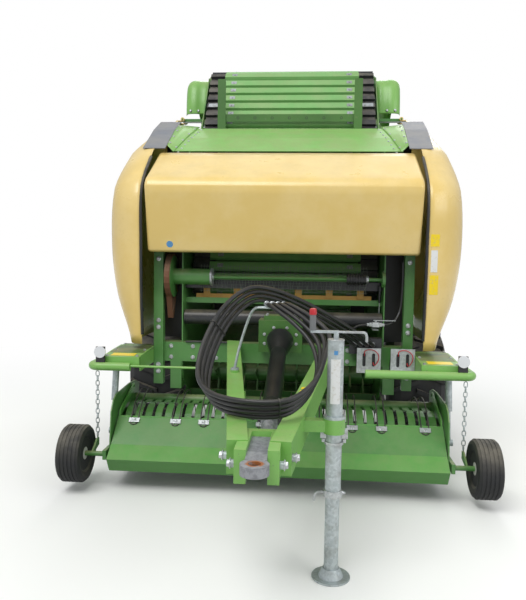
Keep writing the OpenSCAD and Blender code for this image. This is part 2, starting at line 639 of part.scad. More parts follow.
// Pickup frame: side plates, cross tube, arms, wheel arms and the reel's bearings
guide_c = [1530, 235];
guide_pin = 16;
side_t = 8;
cross_c = [2185, 455];                 // pickup's cross tube
cross_r = 38;
guard_pivot = [2060, 570];
guard_pin = 10;
chain_x = 1190;
chain_s = 1632;
plate_line = [[1560, 200], [1700, 110], [2050, 90], [2200, 250], [2260, 560], [2150, 596],
    [2000, 604], [1700, 590], [1640, 560], [1600, 500]];
module pickup_frame() color(green) {
    both() {
        difference() {
            side(pickup_x, side_t) polygon(plate_line);
            shaft(pickup_x - 1, pickup_x + side_t + 1, reel_s, reel_z, 20 + run);
        }
        block(pickup_x + side_t - 1, pickup_x + side_t + 22, guide_c.x - 30, 1700,
            guide_c.y - 30, guide_c.y + 30);
        shaft(pickup_x + side_t, guide_x - 20, guide_c.x, guide_c.y, guide_pin);
        side(chain_x - 6, 12) polygon([[1520, 228], [1645, 262], [1645, chain_low], [1615, chain_low],
            [1520, 246]]);
        shaft(pickup_x + side_t - 1, lift_cyl_x - lift_r - 1.5, lift_pins[1].x, lift_pins[1].y, 14);
        shaft(pickup_x - 24, pickup_x + 1, guard_pivot.x, guard_pivot.y, guard_pin);
        difference() {
            side(pick_arm[0], pick_arm[1] - pick_arm[0]) polygon([[2160, 470], [2165, 430], [2205, 418],
                [2330, 435], [2358, 448], [2365, 470], [2358, 492], [2330, 505], [2190, 493]]);
            shaft(pick_arm[0] - 1, pick_arm[1] + 1, pick_pivot.x, pick_pivot.y, pick_pin + run);
        }
    }
    shaft(-pickup_x - 1, pickup_x + 1, cross_c.x, cross_c.y, cross_r);
}
module stripper_bands() color(dark_green) for (i = [0:tines]) let (p = 2 * (pickup_x - 20) / (tines + 1),
    x = -pickup_x + 20 + i * p)
    side(x + 11, p - 22) polygon(concat(arc([reel_s, reel_z], band_r, 250, 60, 14),
        [cross_c + [-cross_r - seat, 4], cross_c - [cross_r + seat, 2]],
        arc([reel_s, reel_z], band_r - 4, 60, 250, 14)));

// Crop guard: a bent sheet ahead of and over the reel, on two swing arms
guard_line = [[1520, 130], [1462, 222], [1562, 292], [1722, 440]];
module crop_guard() color(green) {
    side(-pickup_x + 8, 2 * pickup_x - 16) polygon(bent(guard_line, -6));
    both() difference() {
        side(pickup_x - 20, 10) polygon([[1484, 233.5], [1564, 289.5], [1722.6, 436.4], [1740, 480],
            [2046, 590], [2070, 590], [2082, 570], [2070, 550], [2050, 548], [1760, 446], [1600, 290],
            [1570, 222], [1500, 200]]);
        shaft(pickup_x - 21, pickup_x - 9, guard_pivot.x, guard_pivot.y, guard_pin + run);
    }
}

// Reel: tine bars with combs between end discs
module pickup_reel() color("#3a3c3a") {
    shaft(-pickup_x - 7.9, pickup_x + 7.9, reel_s, reel_z, 20);
    for (x = [-pickup_x + 6, -300, 300, pickup_x - 14]) side(x, 8) polygon(arc([reel_s, reel_z], 160, 0, 360, 10));
    pitch = 2 * (pickup_x - 20) / (tines + 1);
    for (a = [0:360 / tine_rows:359]) translate(at(0, reel_s, reel_z)) rotate([a + 20, 0, 0])
        translate([0, 3, 0]) rotate([90, 0, 0]) linear_extrude(6) {
            translate([-pickup_x + 10, 100]) square([2 * pickup_x - 20, 40]);
            for (i = [1:tines]) translate([-pickup_x + 20 + i * pitch - 3, 130]) square([6, tine_r - 130]);
        }
}
module guide_wheel(sign) translate(at(sign * (guide_x - guide_w / 2), guide_c.x, guide_c.y))
    rotate([0, 90 * sign, 0]) {
        color(rubber) rotate_extrude($fn = 60) polygon([[102.3, -55], [120, -70], [150, -guide_w / 2],
            [guide_r - 8, -guide_w / 2 + 6], [guide_r, -60], [guide_r, 60], [guide_r - 8, guide_w / 2 - 6],
            [150, guide_w / 2], [120, 70], [102.3, 55]]);
        color("#d8d8d4") rotate_extrude($fn = 60) polygon([[guide_pin + run, -60], [40, -60], [40, -10], [90, -10],
            [92, -55], [102, -55], [102, 55], [92, 55], [90, 5], [40, 5], [40, 50], [guide_pin + run, 50]]);
    }

// Tailgate: side plates, cross tubes, fender-like covers and lamps
// A place beside the line from roller i to the next, clear of the slats: share of the way, distance
function beside(i, share, out) = let (p = rear_rollers[i], v = rear_rollers[i + 1] - p)
    p + share * v + out * left_of(unit(v));
gate_x = wall_out + 8;
gate_t = 8;
gate_arc = smooth([[3296, 2795], [3306, 2930], [3350, 3070], [3460, 3128], [3700, 3112],
    [(3700 + rear_reach - 320) / 2, 3010], [rear_reach - 320, 2790], [rear_reach - 100, 2400],
    [rear_reach - 10, 1850], [rear_reach - 80, 1300]]);
gate_line = concat([[part_s + 12, rail_z[1] + 40], [(part_s + rear_reach - 75) / 2, rail_z[1] + 10],
    beside(3, 0.66, 285)],
    [for (i = [len(gate_arc) - 1:-1:0]) gate_arc[i]], [[3300, 2715], [part_s + 12, 2680]]);
module tailgate() color(green) {
    both() {
        difference() {
            side(gate_x, gate_t) polygon(gate_line);
            shaft(gate_x - 1, gate_x + gate_t + 1, gate_pivot.x, gate_pivot.y, gate_pin + run);
        }
        shaft(gate_x + gate_t - 1, gate_cyl_x - gate_rod_r - 1.5, gate_pins[1].x, gate_pins[1].y, 24);
    }
    for (c = [beside(0, 0.085, 222), beside(0, 0.7, 215), beside(2, 0.48, 175), beside(3, 0.36, 195),
        [3440, rail_z[1] + 90]]) shaft(-gate_x - 1, gate_x + 1, c.x, c.y, 32);
    block(-gate_x - 1, gate_x + 1, rear_reach - 80, rear_reach - 40, 1900, 2000);
    loop_rollers(rear_rollers, gate_x);
}
cover_wide = 218;
module tailgate_covers() color(bright_green) both()
    side(gate_x + gate_t + seat, cover_wide) polygon(bent(gate_arc, -sheet_t));
lamp_x = [790, 970];
module rear_lamps() both() {
    color(black) {
        block(lamp_x[0], lamp_x[1], rear_reach - 62, rear_reach - 21, 1120, 1240);
        block(gate_x + gate_t + seat, lamp_x[0] + 1, rear_reach - 240, rear_reach - 40, 1160, 1200);
    }
    color("#b01c22") block(lamp_x[0] + 15, lamp_x[1] - 15, rear_reach - 22, rear_reach, 1135, 1225);
}

// Tailgate cylinders and pickup lift cylinders, each from its barrel's pin to its rod's eye
gate_barrel_r = 36;
gate_rod_r = 30;
module barrel(x, p, q, r, len, pin) color(green) difference() {
    union() {
        along(at(x, p.x, p.y), at(x, q.x, q.y)) cylinder(h = len, r = r);
        shaft(x - r, x + r, p.x, p.y, r);
    }
    along(at(x, p.x, p.y), at(x, q.x, q.y)) translate([0, 0, 2 * r]) cylinder(h = len, r = r * 0.5 + run);
    shaft(x - r - 1, x + r + 1, p.x, p.y, pin + run);
}
module rod_end(x, p, q, r, bore, from) color(zinc) {
    along(at(x, p.x, p.y), at(x, q.x, q.y)) translate([0, 0, from])
        cylinder(h = norm(q - p) - from, r = bore);
    shaft(x - r, x + r, q.x, q.y, r);
}
module tailgate_barrel(sign)
    barrel(sign * gate_cyl_x, gate_pins[0], gate_pins[1], gate_barrel_r, 860, cyl_pin);
module tailgate_rod(sign)
    rod_end(sign * gate_cyl_x, gate_pins[0], gate_pins[1], gate_rod_r, gate_barrel_r * 0.5, 420);
module lift_barrel(sign) barrel(sign * lift_cyl_x, lift_pins[0], lift_pins[1], lift_r, 250, 8);
module lift_rod(sign)
    rod_end(sign * lift_cyl_x, lift_pins[0], lift_pins[1], lift_r, lift_r * 0.5, 168);

// Lift chains from the guard tube down to the wheel arm: closed links that hang in each other
chain_links = 14;
link_r = 11;
link_wire = 3.2;
link_straight = 16;
link_pitch = link_straight + 2 * link_r - 2 * link_wire - seat;
link_half = link_straight / 2 + link_r + link_wire;
chain_top = tube_z - tube_r - seat - link_half;
chain_low = chain_top - (chain_links - 1) * link_pitch - link_half - seat;
module link() {
    a = [for (m = [0, 180]) for (b = [0:45:180]) m + b];
    n = len(a);
    polyhedron(
        points = [for (i = [0:n - 1]) for (k = [0:5]) let (r = link_r + link_wire * cos(60 * k))
            [r * cos(a[i]), r * sin(a[i]) + (i < n / 2 ? 1 : -1) * link_straight / 2,
             link_wire * sin(60 * k)]],
        faces = [for (i = [0:n - 1]) for (k = [0:5]) let (m = (k + 1) % 6, j = (i + 1) % n)
            each [[i * 6 + k, j * 6 + m, i * 6 + m], [i * 6 + k, j * 6 + k, j * 6 + m]]]);
}
module chain(sign) color(zinc) for (i = [0:chain_links - 1])
    translate(at(sign * chain_x, chain_s, chain_top - i * link_pitch))
        rotate([90, 0, 90 * (i % 2)]) link();

frame();
axle();
drawbar();
tow_eye();
gearbox();
shaft_guard();
shaft_yoke();
net_wrap();
starter_roller();
feed_rotor();
deflector();
front_belts();
front_slats();
platforms();
guard_tubes();
reflectors();
wheel_chocks();
hose_holder();
valve_block();
hose(0);  // hose_1
hose(1);  // hose_2
hose(2);  // hose_3
hose(3);  // hose_4
jack_tube();
jack_crank();
jack_leg();
hood();
cover(1);  // cover_left
cover(-1);  // cover_right
flap(1);  // flap_left
flap(-1);  // flap_right
pickup_frame();
stripper_bands();
crop_guard();
pickup_reel();
guide_wheel(1);  // guide_wheel_left
guide_wheel(-1);  // guide_wheel_right
tyre(1);  // tyre_left
tyre(-1);  // tyre_right
rim(1);  // rim_left
rim(-1);  // rim_right
tailgate();
tailgate_covers();
rear_belts();
rear_slats();
rear_lamps();
tailgate_barrel(1);  // tailgate_barrel_left
tailgate_barrel(-1);  // tailgate_barrel_right
tailgate_rod(1);  // tailgate_rod_left
tailgate_rod(-1);  // tailgate_rod_right
lift_barrel(1);  // lift_barrel_left
lift_barrel(-1);  // lift_barrel_right
lift_rod(1);  // lift_rod_left
lift_rod(-1);  // lift_rod_right
chain(1);  // chain_left
chain(-1);  // chain_right
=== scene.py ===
import math
import bmesh
import bpy
from mathutils import Matrix, Vector


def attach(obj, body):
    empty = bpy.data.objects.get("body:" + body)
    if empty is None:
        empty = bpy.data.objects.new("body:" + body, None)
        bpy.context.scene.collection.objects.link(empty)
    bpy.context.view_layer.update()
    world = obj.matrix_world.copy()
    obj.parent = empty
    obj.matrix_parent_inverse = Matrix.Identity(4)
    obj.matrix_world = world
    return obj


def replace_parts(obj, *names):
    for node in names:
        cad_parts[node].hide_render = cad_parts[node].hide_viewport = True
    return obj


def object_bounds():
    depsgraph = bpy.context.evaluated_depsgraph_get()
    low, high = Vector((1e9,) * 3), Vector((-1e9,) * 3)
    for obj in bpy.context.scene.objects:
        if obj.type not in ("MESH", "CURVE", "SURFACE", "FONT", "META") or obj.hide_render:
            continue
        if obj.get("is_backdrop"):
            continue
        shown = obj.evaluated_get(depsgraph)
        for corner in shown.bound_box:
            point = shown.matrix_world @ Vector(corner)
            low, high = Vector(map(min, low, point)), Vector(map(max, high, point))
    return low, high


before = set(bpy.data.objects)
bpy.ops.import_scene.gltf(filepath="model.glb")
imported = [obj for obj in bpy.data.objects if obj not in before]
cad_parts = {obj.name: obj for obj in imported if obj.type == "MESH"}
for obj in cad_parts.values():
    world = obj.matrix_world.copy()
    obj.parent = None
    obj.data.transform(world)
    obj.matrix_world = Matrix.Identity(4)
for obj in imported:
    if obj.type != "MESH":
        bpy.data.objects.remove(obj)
cad_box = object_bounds()
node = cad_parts

# Camera: stands ahead of the tow eye at eye height and looks slightly down along the machine,
# a little to the right of its middle, as in the photograph.
scene = bpy.context.scene
scene.view_settings.view_transform = "Standard"
lens = bpy.data.cameras.new("camera")
lens.lens = 37.2
lens.sensor_width = 36.0
lens.clip_end = 200.0
camera = bpy.data.objects.new("camera", lens)
scene.collection.objects.link(camera)
scene.camera = camera
yaw, pitch, roll = math.radians(4.38), math.radians(4.12), math.radians(0.87)
ahead = Vector((-math.sin(yaw) * math.cos(pitch), math.cos(yaw) * math.cos(pitch), -math.sin(pitch)))
level = Vector((math.cos(yaw), math.sin(yaw), 0.0))
upward = level.cross(ahead)
right = level * math.cos(roll) + upward * math.sin(roll)
upright = upward * math.cos(roll) - level * math.sin(roll)
camera.matrix_world = Matrix.Translation((0.201, -4.613, 1.535)) @ Matrix(
    (right, upright, -ahead)).transposed().to_4x4()

# Hydraulic hoses: two-wire rubber hoses with a smooth black cover that is dusty on top. They leave
# the valve block, cross to the holder, hang in one wide loop and end in couplings over the holder.


def linear(hex_colour):
    values = [int(hex_colour[i:i + 2], 16) / 255 for i in (1, 3, 5)]
    return tuple(v / 12.92 if v <= 0.04045 else ((v + 0.055) / 1.055) ** 2.4 for v in values) + (1.0,)


# Adds a node. A setting is the node's own, an input's value (a hex colour turns to linear) or a socket
# to link to the input. It gives back the node, or the output that is asked for.
def add(material, kind, settings=None, output=None):
    made = material.node_tree.nodes.new("ShaderNode" + kind)
    for key, value in (settings or {}).items():
        if isinstance(value, bpy.types.NodeSocket):
            material.node_tree.links.new(value, made.inputs[key])
        elif isinstance(key, str) and hasattr(made, key):
            setattr(made, key, value)
        else:
            made.inputs[key].default_value = linear(value) if isinstance(value, str) else value
    return made if output is None else made.outputs[output]


def begin(name):
    material = bpy.data.materials.new(name)
    material.use_nodes = True
    material.node_tree.nodes.clear()
    return material


def end(material, shader):
    add(material, "OutputMaterial", {"Surface": shader})
    return material


# Settings that many nodes share: an eased range, a product and a mix of two colours (inputs 6 and 7).
eased, product, rgba = {"interpolation_type": "SMOOTHSTEP"}, {"operation": "MULTIPLY"}, {"data_type": "RGBA"}


# Dust settles on surfaces that face up and in soft patches about 150 mm across. Every pattern's scale
# is 1000 over its size in mm.
def dust_mask(material, place, amount):
    facing = add(material, "SeparateXYZ", {"Vector": place.outputs["Normal"]}, "Z")
    on_top = add(material, "MapRange", {**eased, "From Min": -0.1, "From Max": 0.95,
                                        "Value": facing}, "Result")
    on_top = add(material, "Math", {**product, 0: on_top, 1: amount}, "Value")
    patches = add(material, "TexNoise", {"Scale": 1000 / 150, "Detail": 6.0, "Roughness": 0.65,
                                         "Vector": place.outputs["Object"]}, "Fac")
    patches = add(material, "MapRange", {**eased, "From Min": 0.25, "From Max": 0.7,
                                         "Value": patches}, "Result")
    return add(material, "Math", {**product, 0: on_top, 1: patches}, "Value")


# Rubber and plastic: one even colour with a fine grain of 4 mm, greyed in patches of 90 mm and dusty.
def rubber(name, colour, dusty, roughness, dust):
    material = begin(name)
    place = add(material, "TexCoord")
    spot = {"Vector": place.outputs["Object"]}
    grain = add(material, "TexNoise", {**spot, "Scale": 1000 / 4, "Detail": 4.0}, "Fac")
    grey = add(material, "TexNoise", {**spot, "Scale": 1000 / 90, "Detail": 5.0}, "Fac")
    grey = add(material, "MapRange", {**eased, "From Min": 0.4, "From Max": 0.75, "Value": grey}, "Result")
    grey = add(material, "Math", {**product, 0: grey, 1: 0.35}, "Value")
    tone = add(material, "Mix", {**rgba, 0: grey, 6: colour, 7: dusty}, 2)
    tone = add(material, "Mix", {**rgba, 0: dust_mask(material, place, dust), 6: tone, 7: "#A39B88"}, 2)
    bump = add(material, "Bump", {"Strength": 0.25, "Distance": 0.0006, "Height": grain}, "Normal")
    return end(material, add(material, "BsdfPrincipled", {
        "Roughness": roughness, "IOR": 1.52, "Base Color": tone, "Normal": bump}, "BSDF"))


hose_rubber = rubber("nitrile_hose_cover_extruded", "#151618", "#242526", 0.4, 0.1)

hook_s, hook_z, hook_r, hose_r = 1150, 1241, 8, 12
port_step, hose_step = 42, 31
hose_route = [
    (510, 1999.7, 930), (510, 1965, 930), (510, 1925, 930), (500, 1860, 942), (444, 1770, 990),
    (345, 1665, 1055), (230, 1545, 1130), (105, 1420, 1205), (-20, 1300, 1262), (-130, 1160, 1270),
    (-232, 1010, 1172), (-295, 850, 1010), (-298, 700, 868), (-220, 545, 814), (-60, 432, 806),
    (100, 440, 818), (200, 560, 882), (242, 710, 975), (212, 835, 1085), (115, 930, 1180),
    (0, 1040, 1250), (-40, hook_s, hook_z + hook_r + hose_r + 0.7)]

mid_s = 2291.0  # from the tow eye to the frame's origin, in mm; s counts from the eye


def at(x, s, z):
    return Vector((x, s - mid_s, z)) / 1000


def fan(i):
    count, points = len(hose_route), []
    for k, (x, s, z) in enumerate(hose_route):
        a = (1 - math.cos(math.pi / 6 * min(6, max(0, k - 2)))) / 2
        b = min(1, (count - 1 - k) / 4)
        w = min(a, b)
        side = port_step * (1 - a) if k < count / 2 else hose_step * math.sqrt(1 - b * b)
        points.append(at(x * (1 + 0.05 * i * w) + side * i, s - 14 * i * w * a, z + 26 * i * w))
    return points


def smooth(points, spans=3):
    line = []
    for i in range(len(points) - 1):
        a, b = points[max(0, i - 1)], points[i]
        c, d = points[i + 1], points[min(len(points) - 1, i + 2)]
        for k in range(spans):
            t = k / spans
            line.append((2 * b + (c - a) * t + (2 * a - 5 * b + 4 * c - d) * t * t
                         + (3 * b - a - 3 * c + d) * t ** 3) / 2)
    return line + [points[-1]]


def finish_mesh(name, work, material, body, smooth_angle=35.0):
    mesh = bpy.data.meshes.new(name)
    bmesh.ops.recalc_face_normals(work, faces=work.faces)
    work.to_mesh(mesh)
    work.free()
    made = bpy.data.objects.new(name, mesh)
    scene.collection.objects.link(made)
    mesh.materials.append(material)
    for face in mesh.polygons:
        face.use_smooth = True
    mesh.set_sharp_from_angle(angle=math.radians(smooth_angle))
    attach(made, body)
    return made


def add_tube(work, line, radius, sides=12, closed=False):
    count = len(line)
    if closed:
        heads = [(line[(i + 1) % count] - line[i - 1]).normalized() for i in range(count)]
    else:
        heads = [(line[min(count - 1, i + 1)] - line[max(0, i - 1)]).normalized() for i in range(count)]
    across = heads[0].cross(Vector((0, 0, 1)))
    if across.length < 0.01:
        across = heads[0].cross(Vector((1, 0, 0)))
    across.normalize()
    rings = []
    for point, head in zip(line, heads):
        across = (across - across.dot(head) * head).normalized()
        other = head.cross(across)
        size = radius[len(rings)] if isinstance(radius, (list, tuple)) else radius
        rings.append([work.verts.new(point + size * (math.cos(math.tau * k / sides) * across
                                                     + math.sin(math.tau * k / sides) * other))
                      for k in range(sides)])
    for i in range(count if closed else count - 1):
        low, high = rings[i], rings[(i + 1) % count]
        for k in range(sides):
            work.faces.new((low[k], low[(k + 1) % sides], high[(k + 1) % sides], high[k]))
    if not closed:
        work.faces.new(rings[0][::-1])
        work.faces.new(rings[-1])


hoses = []
for i in range(4):
    line = smooth(fan(i), 5)
    work = bmesh.new()
    add_tube(work, line, hose_r / 1000, 14)
    hose = finish_mesh("hose_%d_line" % (i + 1), work, hose_rubber, "root")
    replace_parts(hose, "hose_%d" % (i + 1))
    hoses.append(line)

# Floor and light: a plain pale floor that fades to white far from the machine, an even sky and three
# large soft lamps, from the front left above, from the front right and from behind.
ground = bpy.data.meshes.new("floor")
corners = [(40 * x, 40 * y, -0.001) for x, y in ((-1, -1), (1, -1), (1, 1), (-1, 1))]
ground.from_pydata(corners, [], [(0, 1, 2, 3)])
floor = bpy.data.objects.new("floor", ground)
scene.collection.objects.link(floor)
floor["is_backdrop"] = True
floor_paint = begin("floor_matt")
paths = add(floor_paint, "LightPath")
seen = add(floor_paint, "Math", {"operation": "MAXIMUM", 0: paths.outputs["Is Camera Ray"],
                                 1: paths.outputs["Is Glossy Ray"]}, "Value")
spot = add(floor_paint, "TexCoord", {}, "Object")
far = add(floor_paint, "VectorMath", {"operation": "LENGTH", 0: spot}, "Value")
far = add(floor_paint, "MapRange", {**eased, "From Min": 2.2, "From Max": 6.5, "Value": far}, "Result")
far = add(floor_paint, "Math", {**product, 0: far, 1: seen}, "Value")
tone = add(floor_paint, "Mix", {**rgba, 0: seen, 6: "#8E8E8A", 7: "#F2F2EE"}, 2)
matt = add(floor_paint, "BsdfPrincipled", {"Roughness": 0.9, "Base Color": tone}, "BSDF")
white = add(floor_paint, "Emission", {"Color": (1.0, 1.0, 1.0, 1.0), "Strength": 1.0}, 0)
ground.materials.append(end(floor_paint, add(floor_paint, "MixShader", {0: far, 1: matt, 2: white}, 0)))

sky = bpy.data.worlds.new("sky")
scene.world = sky
sky.use_nodes = True
sky.node_tree.nodes.clear()
rays = add(sky, "LightPath")
direct = add(sky, "Math", {"operation": "MAXIMUM", 0: rays.outputs["Is Camera Ray"],
                           1: rays.outputs["Is Transmission Ray"]}, "Value")
glow = add(sky, "Background", {"Color": (0.93, 0.96, 1.0, 1.0), "Strength": 0.62}, 0)
plain = add(sky, "Background", {"Color": (1.0, 1.0, 1.0, 1.0), "Strength": 1.0}, 0)
add(sky, "OutputWorld", {"Surface": add(sky, "MixShader", {0: direct, 1: glow, 2: plain}, 0)})


def area_lamp(name, place, target, size, power):
    light = bpy.data.lights.new(name, "AREA")
    light.shape = "RECTANGLE"
    light.size, light.size_y, light.energy = size, size * 0.7, power
    lamp = bpy.data.objects.new(name, light)
    scene.collection.objects.link(lamp)
    lamp.location = place
    lamp.rotation_euler = (Vector(target) - Vector(place)).to_track_quat("-Z", "Y").to_euler()


area_lamp("key", (-3.0, -6.2, 9.6), (0, 0, 1.2), 7.0, 690)
area_lamp("fill", (6.5, -5.0, 5.0), (0, 0, 1.0), 6.0, 210)
area_lamp("back", (1.0, 8.5, 7.5), (0, 0, 1.5), 7.0, 420)

# Painted steel: two-coat enamel sprayed on blasted steel. It has a slight orange peel, chalks in
# the sun in wide patches, collects dust on top and is chipped to grey primer in small spots.


def enamel(name, colour, chalked, dust=0.55, roughness=0.38, chips=0.66, dirt="#8C8266"):
    material = begin(name)
    place = add(material, "TexCoord")
    spot = {"Vector": place.outputs["Object"]}
    wide = add(material, "TexNoise", {**spot, "Scale": 1000 / 380, "Detail": 5.0, "Roughness": 0.6}, "Fac")
    fine = add(material, "TexNoise", {**spot, "Scale": 1000 / 26, "Detail": 6.0, "Roughness": 0.7}, "Fac")
    peel = add(material, "TexNoise", {**spot, "Scale": 1000 / 2.4, "Detail": 2.0}, "Fac")
    chip = add(material, "TexNoise", {**spot, "Scale": 1000 / 10.5, "Detail": 3.0, "Roughness": 0.8}, "Fac")
    chalk = add(material, "MapRange", {**eased, "From Min": 0.36, "From Max": 0.66, "Value": wide}, "Result")
    tone = add(material, "Mix", {**rgba, 0: chalk, 6: colour, 7: chalked}, 2)
    soil = dust_mask(material, place, dust)
    tone = add(material, "Mix", {**rgba, 0: soil, 6: tone, 7: "#A79A78"}, 2)
    fine = add(material, "MapRange", {**eased, "From Min": 0.52, "From Max": 0.78, "Value": fine}, "Result")
    wide = add(material, "MapRange", {**eased, "From Min": 0.45, "From Max": 0.7, "Value": wide}, "Result")
    splash = add(material, "Math", {**product, 0: fine, 1: wide}, "Value")
    splash = add(material, "Math", {**product, 0: splash, 1: 0.35}, "Value")
    tone = add(material, "Mix", {**rgba, 0: splash, 6: tone, 7: dirt}, 2)
    chip = add(material, "MapRange", {**eased, "From Min": chips, "From Max": chips + 0.03, "Value": chip},
               "Result")
    tone = add(material, "Mix", {**rgba, 0: chip, 6: tone, 7: "#6A6A62"}, 2)
    rough = add(material, "MapRange", {"To Min": roughness, "To Max": 0.85, "Value": soil}, "Result")
    bump = add(material, "Bump", {"Strength": 0.12, "Distance": 0.0004, "Height": peel}, "Normal")
    return end(material, add(material, "BsdfPrincipled", {
        "IOR": 1.5, "Coat Weight": 0.15, "Coat Roughness": 0.2, "Base Color": tone, "Roughness": rough,
        "Normal": bump}, "BSDF"))


def dress(material, *names):
    for name in names:
        slots = node[name].data.materials
        slots.clear()
        slots.append(material)


# Paints a node's faces by place: the first choice whose test holds for a face's middle is its material.
def paint(name, *choices):
    mesh = node[name].data
    mesh.materials.clear()
    for material, chosen in choices:
        mesh.materials.append(material)
    for face in mesh.polygons:
        centre = node[name].matrix_world @ face.center * 1000
        place = (centre.x, centre.y + mid_s, centre.z)
        face.material_index = next(i for i, (material, chosen) in enumerate(choices)
                                   if chosen is None or chosen(*place))


bpy.context.view_layer.update()
# The greens run from the dull dark gearbox through the frame's mid green to the fresh yellowish green
# of the drawbar; the slats are paler. Cream is the cleanest and glossiest, pale grey and black are dull.
green_enamel = enamel("green_enamel_sprayed", "#48803A", "#558C47")
bright_enamel = enamel("bright_green_enamel_sprayed", "#7AB356", "#83BB60", dust=0.34)
slat_enamel = enamel("pale_green_enamel_sprayed", "#74AC62", "#7EB46C", dust=0.4)
guard_enamel = enamel("leaf_green_enamel_sprayed", "#54993F", "#5DA04A", dust=0.2)
# Deep green: the stripper bands' paint, and painted shade on the crop guard's upper sheet, whose real paint
# is the guard's leaf green.
deep_green_and_shade_enamel = enamel("deep_green_enamel_with_painted_shade", "#458339", "#4E8C42", dust=0.16)
dark_enamel = enamel("dark_green_enamel_sprayed", "#3B6628", "#46732F")
cream_enamel = enamel("cream_enamel_sprayed", "#E6C777", "#ECD08A", dust=0.22, roughness=0.26, chips=0.76,
                      dirt="#BFA566")
pale_enamel = enamel("pale_grey_enamel_sprayed", "#CFCFC8", "#BDBCB2", dust=0.5)
black_enamel = enamel("black_enamel_sprayed", "#1C1D21", "#28292D", dust=0.22)
dress(green_enamel, "frame", "axle", "feed_rotor", "pickup_frame", "tailgate", "tailgate_barrel_left",
      "tailgate_barrel_right")
dress(bright_enamel, "platforms", "guard_tubes")
dress(slat_enamel, "front_slats", "rear_slats")
# The crop guard is one leaf green; its upper sheet takes the deep green as painted shade, a darker copy of
# the same paint.
paint("crop_guard", (deep_green_and_shade_enamel, lambda x, s, z: 1564 < s < 1720 and z > 296), (guard_enamel, None))
paint("deflector", (dark_enamel, lambda x, s, z: 515 < abs(x) < 590 and (s > 2801.5 or z > 2562)),
      (bright_enamel, None))
dress(deep_green_and_shade_enamel, "stripper_bands")
dress(dark_enamel, "gearbox")
dress(pale_enamel, "rim_left", "rim_right")
dress(black_enamel, "starter_roller", "pickup_reel", "valve_block")

# Galvanised steel: hot-dipped, matt grey with faint crystals about 12 mm across and dull clouds. The
# fasteners are plated, which is smoother and a little brighter.


def zinc_coated(name, light, dark, roughness):
    material = begin(name)
    spot = {"Vector": add(material, "TexCoord", {}, "Object")}
    cells = add(material, "TexVoronoi", {**spot, "Scale": 1000 / 12}, "Color")
    shade = add(material, "RGBToBW", {"Color": cells}, "Val")
    cloud = add(material, "TexNoise", {**spot, "Scale": 1000 / 70, "Detail": 5.0}, "Fac")
    cloud = add(material, "MapRange", {**eased, "From Min": 0.45, "From Max": 0.7, "Value": cloud}, "Result")
    cloud = add(material, "Math", {**product, 0: cloud, 1: 0.5}, "Value")
    crystal = add(material, "Math", {**product, 0: shade, 1: 0.6}, "Value")
    tone = add(material, "Mix", {**rgba, 0: crystal, 6: light, 7: dark}, 2)
    tone = add(material, "Mix", {**rgba, 0: cloud, 6: tone, 7: "#8B8C86"}, 2)
    rough = add(material, "MapRange", {"To Min": roughness, "To Max": roughness + 0.25,
                                       "Value": shade}, "Result")
    return end(material, add(material, "BsdfPrincipled", {
        "Metallic": 0.75, "Base Color": tone, "Roughness": rough}, "BSDF"))


zinc = zinc_coated("hot_dip_galvanised_steel", "#C3CBCC", "#9AA3A4", 0.42)
plated = zinc_coated("zinc_plated_fasteners", "#C6CACA", "#979B9F", 0.3)
dress(zinc, "hose_holder", "jack_tube", "jack_crank", "jack_leg", "chain_left", "chain_right",
      "tailgate_rod_left", "tailgate_rod_right", "lift_barrel_left", "lift_barrel_right", "lift_rod_left",
      "lift_rod_right")

# Forged steel: drop-forged eye and yoke with grey worn scale. A ring of orange rust lies round the
# eye's bore where the pin rubs, and the bore itself is painted darker as painted shade.
eye_centre = at(0, 0, 715)
forged = begin("forged_steel_scaled")
spot = {"Vector": add(forged, "TexCoord", {}, "Object")}
clouds = add(forged, "TexNoise", {**spot, "Scale": 1000 / 42, "Detail": 8.0, "Roughness": 0.7}, "Fac")
reach = add(forged, "VectorMath", {"operation": "SUBTRACT", 0: spot["Vector"], 1: eye_centre}, "Vector")
reach = add(forged, "VectorMath", {"operation": "LENGTH", 0: reach}, "Value")
ring = add(forged, "MapRange", {**eased, "From Min": 0.047, "From Max": 0.037, "Value": reach}, "Result")
rusty = add(forged, "MapRange", {**eased, "From Min": 0.3, "From Max": 0.5, "Value": clouds}, "Result")
rusty = add(forged, "Math", {**product, 0: ring, 1: rusty}, "Value")
scale = add(forged, "MapRange", {**eased, "From Min": 0.42, "From Max": 0.6, "Value": clouds}, "Result")
# Painted shade: the eye's bore is darkened where shade falls inside it.
bore_painted_shade = add(forged, "MapRange", {**eased, "From Min": 0.0275, "From Max": 0.025, "Value": reach}, "Result")
tone = add(forged, "Mix", {**rgba, 0: scale, 6: "#9C9EA2", 7: "#818286"}, 2)
tone = add(forged, "Mix", {**rgba, 0: rusty, 6: tone, 7: "#A5673A"}, 2)
tone = add(forged, "Mix", {**rgba, 0: bore_painted_shade, 6: tone, 7: "#5B4A3C"}, 2)
bump = add(forged, "Bump", {"Strength": 0.4, "Distance": 0.001, "Height": clouds}, "Normal")
end(forged, add(forged, "BsdfPrincipled", {
    "Metallic": 0.35, "Roughness": 0.55, "Base Color": tone, "Normal": bump}, "BSDF"))
dress(forged, "tow_eye", "shaft_yoke")

